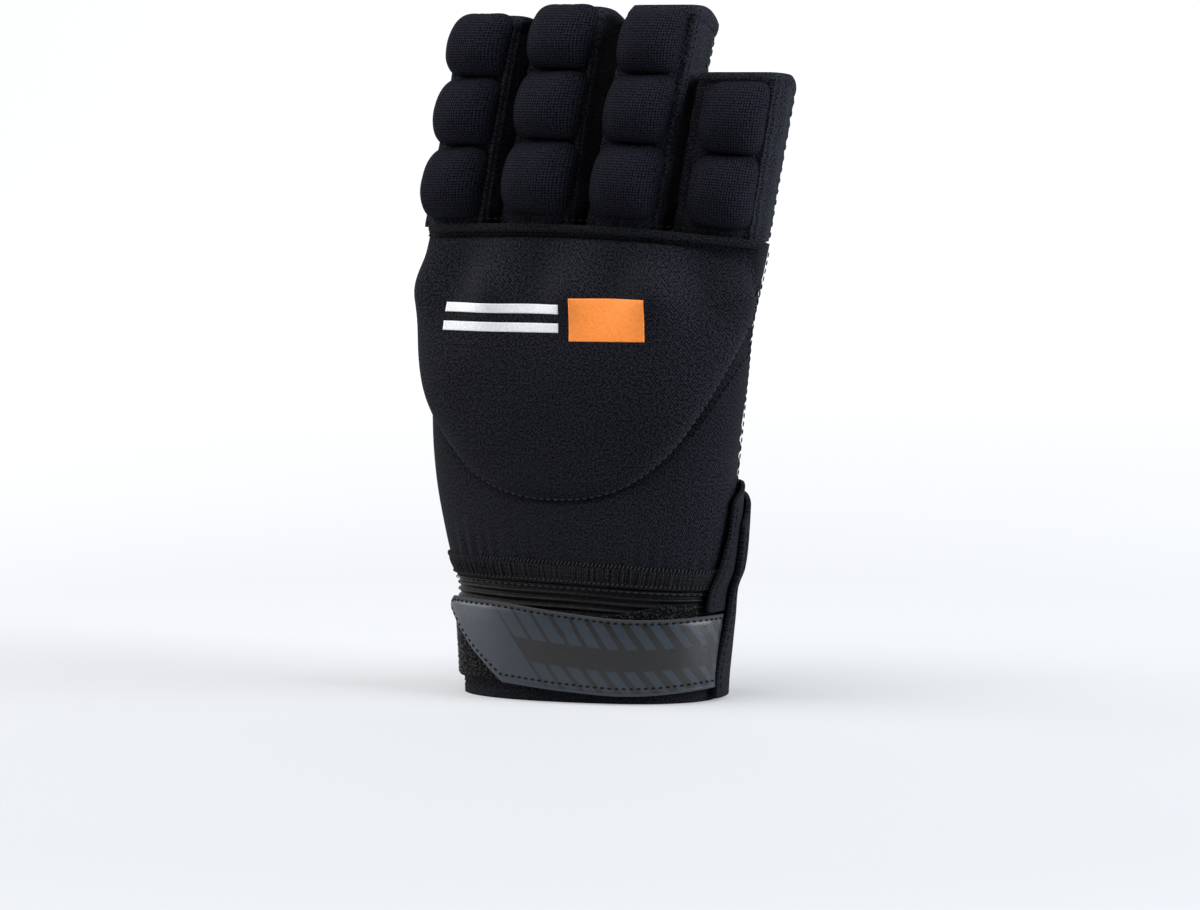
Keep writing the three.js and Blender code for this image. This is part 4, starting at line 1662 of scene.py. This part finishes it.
@dataclass(frozen=True)
class Flap:
    """One layer of the cuff's slit, in millimetres and degrees round the wrist."""

    name: str
    front: tuple[float, float]
    lean: tuple[float, float]
    back: float
    low: float
    high: float
    out: float
    thick: float
    corner: float

    def edge(self, z: Array) -> Array:
        """Give the angle of the front edge."""
        return self.front[0] + (self.front[1] - self.front[0]) * smoothstep(z, *self.lean)

    def surface(self, u: Array, v: Array) -> Array:
        """Give the flap's outer face.

        Args:
            u: Places from the front edge to the back one, from 0 to 1.
            v: Places up it, from 0 to 1.

        Returns:
            The points.
        """
        drop = self.corner * ((1 - u) ** 6 + u ** 6)
        z = self.low + (self.high - drop - self.low) * v
        loose = 0.6 + 0.4 * smoothstep(z, 4, 40) - 0.2 * smoothstep(z, 46, 68)
        front = self.edge(z)
        wave = 0.3 * ripple(u * 60, v * 60, 22.0, 31) * (1 - u)
        return HAND.point(front + (self.back - front) * u, z, (self.out + self.thick) * loose + wave)

    def build(self) -> None:
        """Make the flap with its rolled edge and its stitches."""
        flap = BENCH.sheet(f"{self.name}_cloth", (70, 70), self.surface, (60, self.high - self.low))
        BENCH.thicken(flap, self.thick)
        BENCH.soften(flap, 0.45, 0)
        WARDROBE.dress(flap, (JERSEY,), (self.name,))
        v = np.linspace(0.05, 0.93, 90)
        line = self.surface(np.full(90, 0.045), v)
        ways = self.surface(np.full(90, 0.06), v)
        outward = np.cross(ways - line, np.gradient(line, axis=0))
        Seam(2.6, 1.8, 0.45, 0.4).sew(f"{self.name}_stitches", line, outward, DARK_THREAD)


FLAPS = (
    Flap("side_flap_inner", (-20, -6.5), (30, 72), 58, 33.0, 71.5, 1.6, 1.4, 5),
    Flap("side_flap_outer", (-12, -0.5), (8, 42), 66, 3.4, 68.5, 3.7, 1.8, 9),
)


@dataclass
class Strap:
    """The closing strap: it sags a little, and its free end is cut slantwise.

    tip_rise and end_rise give how much it rises towards its free and its fixed end, and the angle where it
    has done so.
    """

    tip: float = -158.0
    low: float = 6.2
    high: float = 31.2
    thick: float = 2.2
    out: float = 1.6
    end: float = 1.4
    cut_from: float = -116.0
    cut: float = 21.0
    depth: float = 0.8
    middle: float = -68.0
    tip_rise: tuple[float, float] = (3.0, -124.0)
    end_rise: tuple[float, float] = (1.8, -13.0)
    inset: float = 1.35
    nose: float = 4.5

    def __post_init__(self) -> None:
        """Space the strap's places evenly along it."""
        middle = (self.low + self.high) / 2
        first = float(FLAPS[1].edge(np.array(middle))) - self.end

        def walk(along: Array) -> Array:
            """Give the strap's middle line, from its fixed end to its tip."""
            angle = first + (self.tip - first) * along
            return HAND.point(angle, np.full_like(along, middle), self.out + self.thick)

        self.spaced = even(walk, 1.0, 0.0, 240)
        self.length = length_of(walk(self.spaced))

    def edges(self, u: Array, share: Array) -> tuple[Array, Array, Array]:
        """Give the angle, and the heights of the lower and the upper edge, at places along the strap.

        Args:
            u: Places along it, from 0 at the tip to 1 at the fixed end.
            share: Places up it, for the flap's edge that its fixed end follows.

        Returns:
            The angles and the two heights.
        """
        along = np.interp(u, np.linspace(0, 1, len(self.spaced)), self.spaced)
        first = FLAPS[1].edge(self.low + (self.high - self.low) * share) - self.end
        angle = first + (self.tip - first) * along
        slant = self.cut * np.clip((angle - self.cut_from) / (self.tip - self.cut_from), 0, 1)
        lift = self.lift(angle)
        corner = 3.6 * np.clip(1 - u * self.length / self.nose, 0, 1) ** 2.2
        return angle, self.low + slant + lift, self.high - corner + lift

    def lift(self, angle: Array) -> Array:
        """Tell how far the strap lies above its level, for it sags between its ends."""
        to_tip = self.tip_rise[0] * smoothstep(angle, self.middle, self.tip_rise[1])
        return to_tip + self.end_rise[0] * smoothstep(angle, self.middle, self.end_rise[1]) - self.depth

    def surface(self, u: Array, v: Array, proud: Array | float = 0.0) -> Array:
        """Give the strap's outer face, with its stitched groove and its soft edge.

        Args:
            u: Places along it, from 0 at the tip to 1 at the fixed end.
            v: Places up it, from 0 to 1.
            proud: Distances out from the face.

        Returns:
            The points.
        """
        angle, bottom, top = self.edges(u, v)
        near = np.minimum(np.minimum(v, 1 - v) * (top - bottom), np.minimum(u, 1 - u) * self.length + 0.4)
        groove = -0.32 * bell(near - self.inset, 0.55)
        puff = 0.25 * smoothstep(near, 1.4, 7.0) - 0.55 * bell(near, 0.5)
        out = self.out + self.thick - 0.25 + groove + puff + proud
        return HAND.point(angle, bottom + (top - bottom) * v, out)

    def close_rows(self, v: Array) -> Array:
        """Crowd the rows towards the edges."""
        return (0.5 - 0.5 * np.cos(math.pi * v)) * 0.75 + v * 0.25

    def laid(self, u: Array, v: Array) -> Array:
        """Give the places on the leather, for its print."""
        angle, bottom, top = self.edges(u, v)
        return np.stack([u * self.length, bottom + (top - bottom) * v - self.low - self.lift(angle)], axis=1)

    def build(self) -> None:
        """Make the strap and the stitches round it."""
        strap = BENCH.sheet("strap_leather_top", (190, 34), lambda u, v: self.surface(u, self.close_rows(v)),
                            lambda u, v: self.laid(u, self.close_rows(v)))
        BENCH.thicken(strap, self.thick, 1)
        WARDROBE.dress(strap, (StrapLeather(), FOAM_EDGE), ("wrist_strap",))
        u = np.linspace(0.016, 0.99, 600)
        _, bottom, top = self.edges(u, np.full_like(u, 0.5))
        slope = np.gradient(bottom, u * self.length)
        for name, up in (("top", 1 - self.inset / (top - bottom)),
                         ("bottom", self.inset * np.hypot(1, slope) / (top - bottom))):
            up = np.clip(up, 0.1, 0.95)
            line = self.surface(u, up, 0.05)
            ways = self.surface(u, up, 1.05) - line
            Seam(2.3, 1.35, 0.7, 0.5).sew(f"strap_stitches_{name}", line, ways, DARK_THREAD)


# The grip

@dataclass
class GripPrint:
    """The raised rubber ovals on the palm and the smaller ones on the palm side of the stalls.

    An oval is its length, width and height, and a pitch is the distance from one oval to the next up its
    column, all in millimetres.
    """

    oval: tuple[float, float, float] = (4.0, 1.7, 1.1)
    pitch: float = 5.3
    columns: int = 34
    small_oval: tuple[float, float, float] = (2.0, 1.3, 0.9)
    small_pitch: float = 2.8

    def build(self, shell: HandShell) -> None:
        """Print the ovals on the palm and on the stalls.

        Args:
            shell: The hand's shell, whose palm takes them.
        """
        shape = BENCH.template(4, 8, self.oval)
        cloth = shell.surface(shell.palm)
        columns = np.linspace(0.018, 0.982, self.columns)
        levels = np.arange(0.03, 0.97, self.pitch / (KNUCKLE_SEAM - shell.low))
        step = levels[1] - levels[0]
        u, v = np.array([(c, r + (i % 2) * step / 2) for i, c in enumerate(columns) for r in levels]).T
        places, up = cloth(u, v), cloth(u, v + 0.01) - cloth(u, v)
        ways = np.cross(cloth(u + 0.004, v) - cloth(u - 0.004, v), up)
        clear = self.off_thumb(places) & (v < 0.975)
        WARDROBE.dress(BENCH.scatter("palm_grip", shape, places[clear], up[clear], ways[clear]), (GRIP,))
        small = BENCH.template(4, 6, self.small_oval)
        for finger in FINGERS:
            angles = even(lambda a: finger.point(a, np.full_like(a, 0.5)), 12.0, 168.0, 13)
            step = self.small_pitch / (finger.top - finger.palm_drop - KNUCKLE_SEAM)
            rises = np.arange(0.04, 0.89, step)
            grid = np.array([(a, r + (i % 2) * step / 2) for i, a in enumerate(angles) for r in rises]).T
            places = finger.point(grid[0], grid[1])
            ways = finger.point(grid[0], grid[1], 1.0) - places
            up = finger.point(grid[0], grid[1] + 0.02) - places
            WARDROBE.dress(BENCH.scatter(f"{finger.name}_grip", small, places, up, ways), (GRIP,))

    def off_thumb(self, places: Array) -> Array:
        """Tell which places lie clear of the thumb's sleeve.

        Args:
            places: The places, one row each.

        Returns:
            True for each place that does.
        """
        root, way, _, _, _ = THUMB_FORM.frame()
        along = (places - root) @ way
        off = np.linalg.norm(places - root - along[:, None] * way, axis=1)
        return off > THUMB_FORM.radii[0] + 2.5


# The studio

@dataclass(frozen=True)
class Lamp:
    """One square lamp: its place and size in metres, its power in watts and its tint."""

    name: str
    place: tuple[float, float, float]
    size: float
    power: float
    tint: Colour = (1.0, 1.0, 1.0)


LAMPS = (
    Lamp("key", (-0.50, -0.95, 1.30), 0.8, 3.5),
    Lamp("overhead", (-0.15, -0.34, 1.50), 0.9, 15.0),
    Lamp("left", (-1.40, -0.38, 0.75), 1.5, 27.0),
    Lamp("right", (1.38, -0.05, 0.70), 1.1, 32.0, (0.85, 0.93, 1.0)),
)


@dataclass
class Studio:
    """The camera, the lights and the pale paper.

    The camera's numbers are in degrees, millimetres and the picture's own pixels. room is the world's light
    on the glove, and sky its light where it is seen. The paper's numbers and the lamps' aim are in metres.
    """

    azimuth: float = 18.0
    distance: float = 1450.0
    eye_height: float = 200.0
    target_height: float = 79.0
    focal_pixels: float = 4567.0
    picture_width: int = 1200
    sensor: float = 36.0
    aside: float = 0.95
    aim: tuple[float, float, float] = (0.0, 0.0, 0.1)
    room: float = 0.07
    sky: float = 0.9
    paper_half: tuple[float, float] = (4.0, 1.5)
    paper_back: float = 1.08
    paper_rise: float = 3.0
    paper_bend: float = 0.8

    def build(self) -> None:
        """Set the stage."""
        turn = math.radians(self.azimuth)
        right = np.array([math.cos(turn), math.sin(turn), 0.0])
        eye = np.array([math.sin(turn) * self.distance, -math.cos(turn) * self.distance, self.eye_height])
        shift = self.aside * right + ORIGIN
        bpy.ops.object.camera_add(location=(eye + shift) * MM)
        camera = bpy.context.active_object
        aim = Vector((np.array([0.0, 0.0, self.target_height]) - eye).tolist())
        camera.rotation_euler = aim.to_track_quat("-Z", "Y").to_euler()
        camera.data.sensor_width = self.sensor
        camera.data.lens = self.focal_pixels / self.picture_width * self.sensor
        camera.data.clip_end = 20
        bpy.context.scene.camera = camera
        self.light()
        self.paper()

    def light(self) -> None:
        """Hang the lamps and set the room's faint light."""
        for lamp in LAMPS:
            bpy.ops.object.light_add(type="AREA", location=lamp.place)
            hung = bpy.context.active_object
            hung.name = lamp.name
            hung.data.size = lamp.size
            hung.data.energy = lamp.power
            hung.data.color = lamp.tint
            way = Vector(self.aim) - Vector(lamp.place)
            hung.rotation_euler = way.to_track_quat("-Z", "Y").to_euler()
        world = bpy.data.worlds.new("studio")
        bpy.context.scene.world = world
        world.use_nodes = True
        tree = world.node_tree
        background = tree.nodes["Background"]
        background.inputs["Color"].default_value = (0.93, 0.96, 1.0, 1.0)
        seen = tree.nodes.new("ShaderNodeLightPath").outputs["Is Camera Ray"]
        share = tree.nodes.new("ShaderNodeMapRange")
        share.inputs["To Min"].default_value = self.room
        share.inputs["To Max"].default_value = self.sky
        tree.links.new(seen, share.inputs["Value"])
        tree.links.new(share.outputs[0], background.inputs["Strength"])
        bpy.context.scene.view_settings.view_transform = "Standard"

    def paper(self) -> None:
        """Roll out the paper, which sweeps up behind the glove."""
        bpy.ops.mesh.primitive_plane_add(size=2.0)
        paper = bpy.context.active_object
        paper.name = "paper"
        flat = BENCH.spots(paper)
        BENCH.put(paper, flat * (*self.paper_half, 0.0) + (0.0, self.paper_back, 0.0))
        bpy.ops.object.mode_set(mode="EDIT")
        bpy.ops.mesh.select_mode(type="VERT")
        bpy.ops.mesh.select_all(action="DESELECT")
        bpy.ops.object.mode_set(mode="OBJECT")
        for vertex in paper.data.vertices:
            vertex.select = vertex.co.y > 0
        bpy.ops.object.mode_set(mode="EDIT")
        bpy.ops.mesh.extrude_region_move(TRANSFORM_OT_translate={"value": (0, 0, self.paper_rise)})
        bpy.ops.object.mode_set(mode="OBJECT")
        BENCH.modify(paper, "BEVEL", width=self.paper_bend, segments=16, limit_method="ANGLE")
        BENCH.take(paper)
        bpy.ops.object.shade_smooth()
        paper.data.materials.append(Backdrop().make())


def main() -> None:
    """Build the glove on its stage."""
    logging.basicConfig(level=logging.INFO, format="%(name)s: %(message)s")
    Studio().build()
    shell = HandShell()
    shell.build()
    THUMB_FORM.build()
    SHIELD.build()
    for finger in FINGERS:
        FingerStall(finger).build()
    Cuff().build()
    for flap in FLAPS:
        flap.build()
    Strap().build()
    GripPrint().build(shell)


if __name__ == "__main__":
    main()
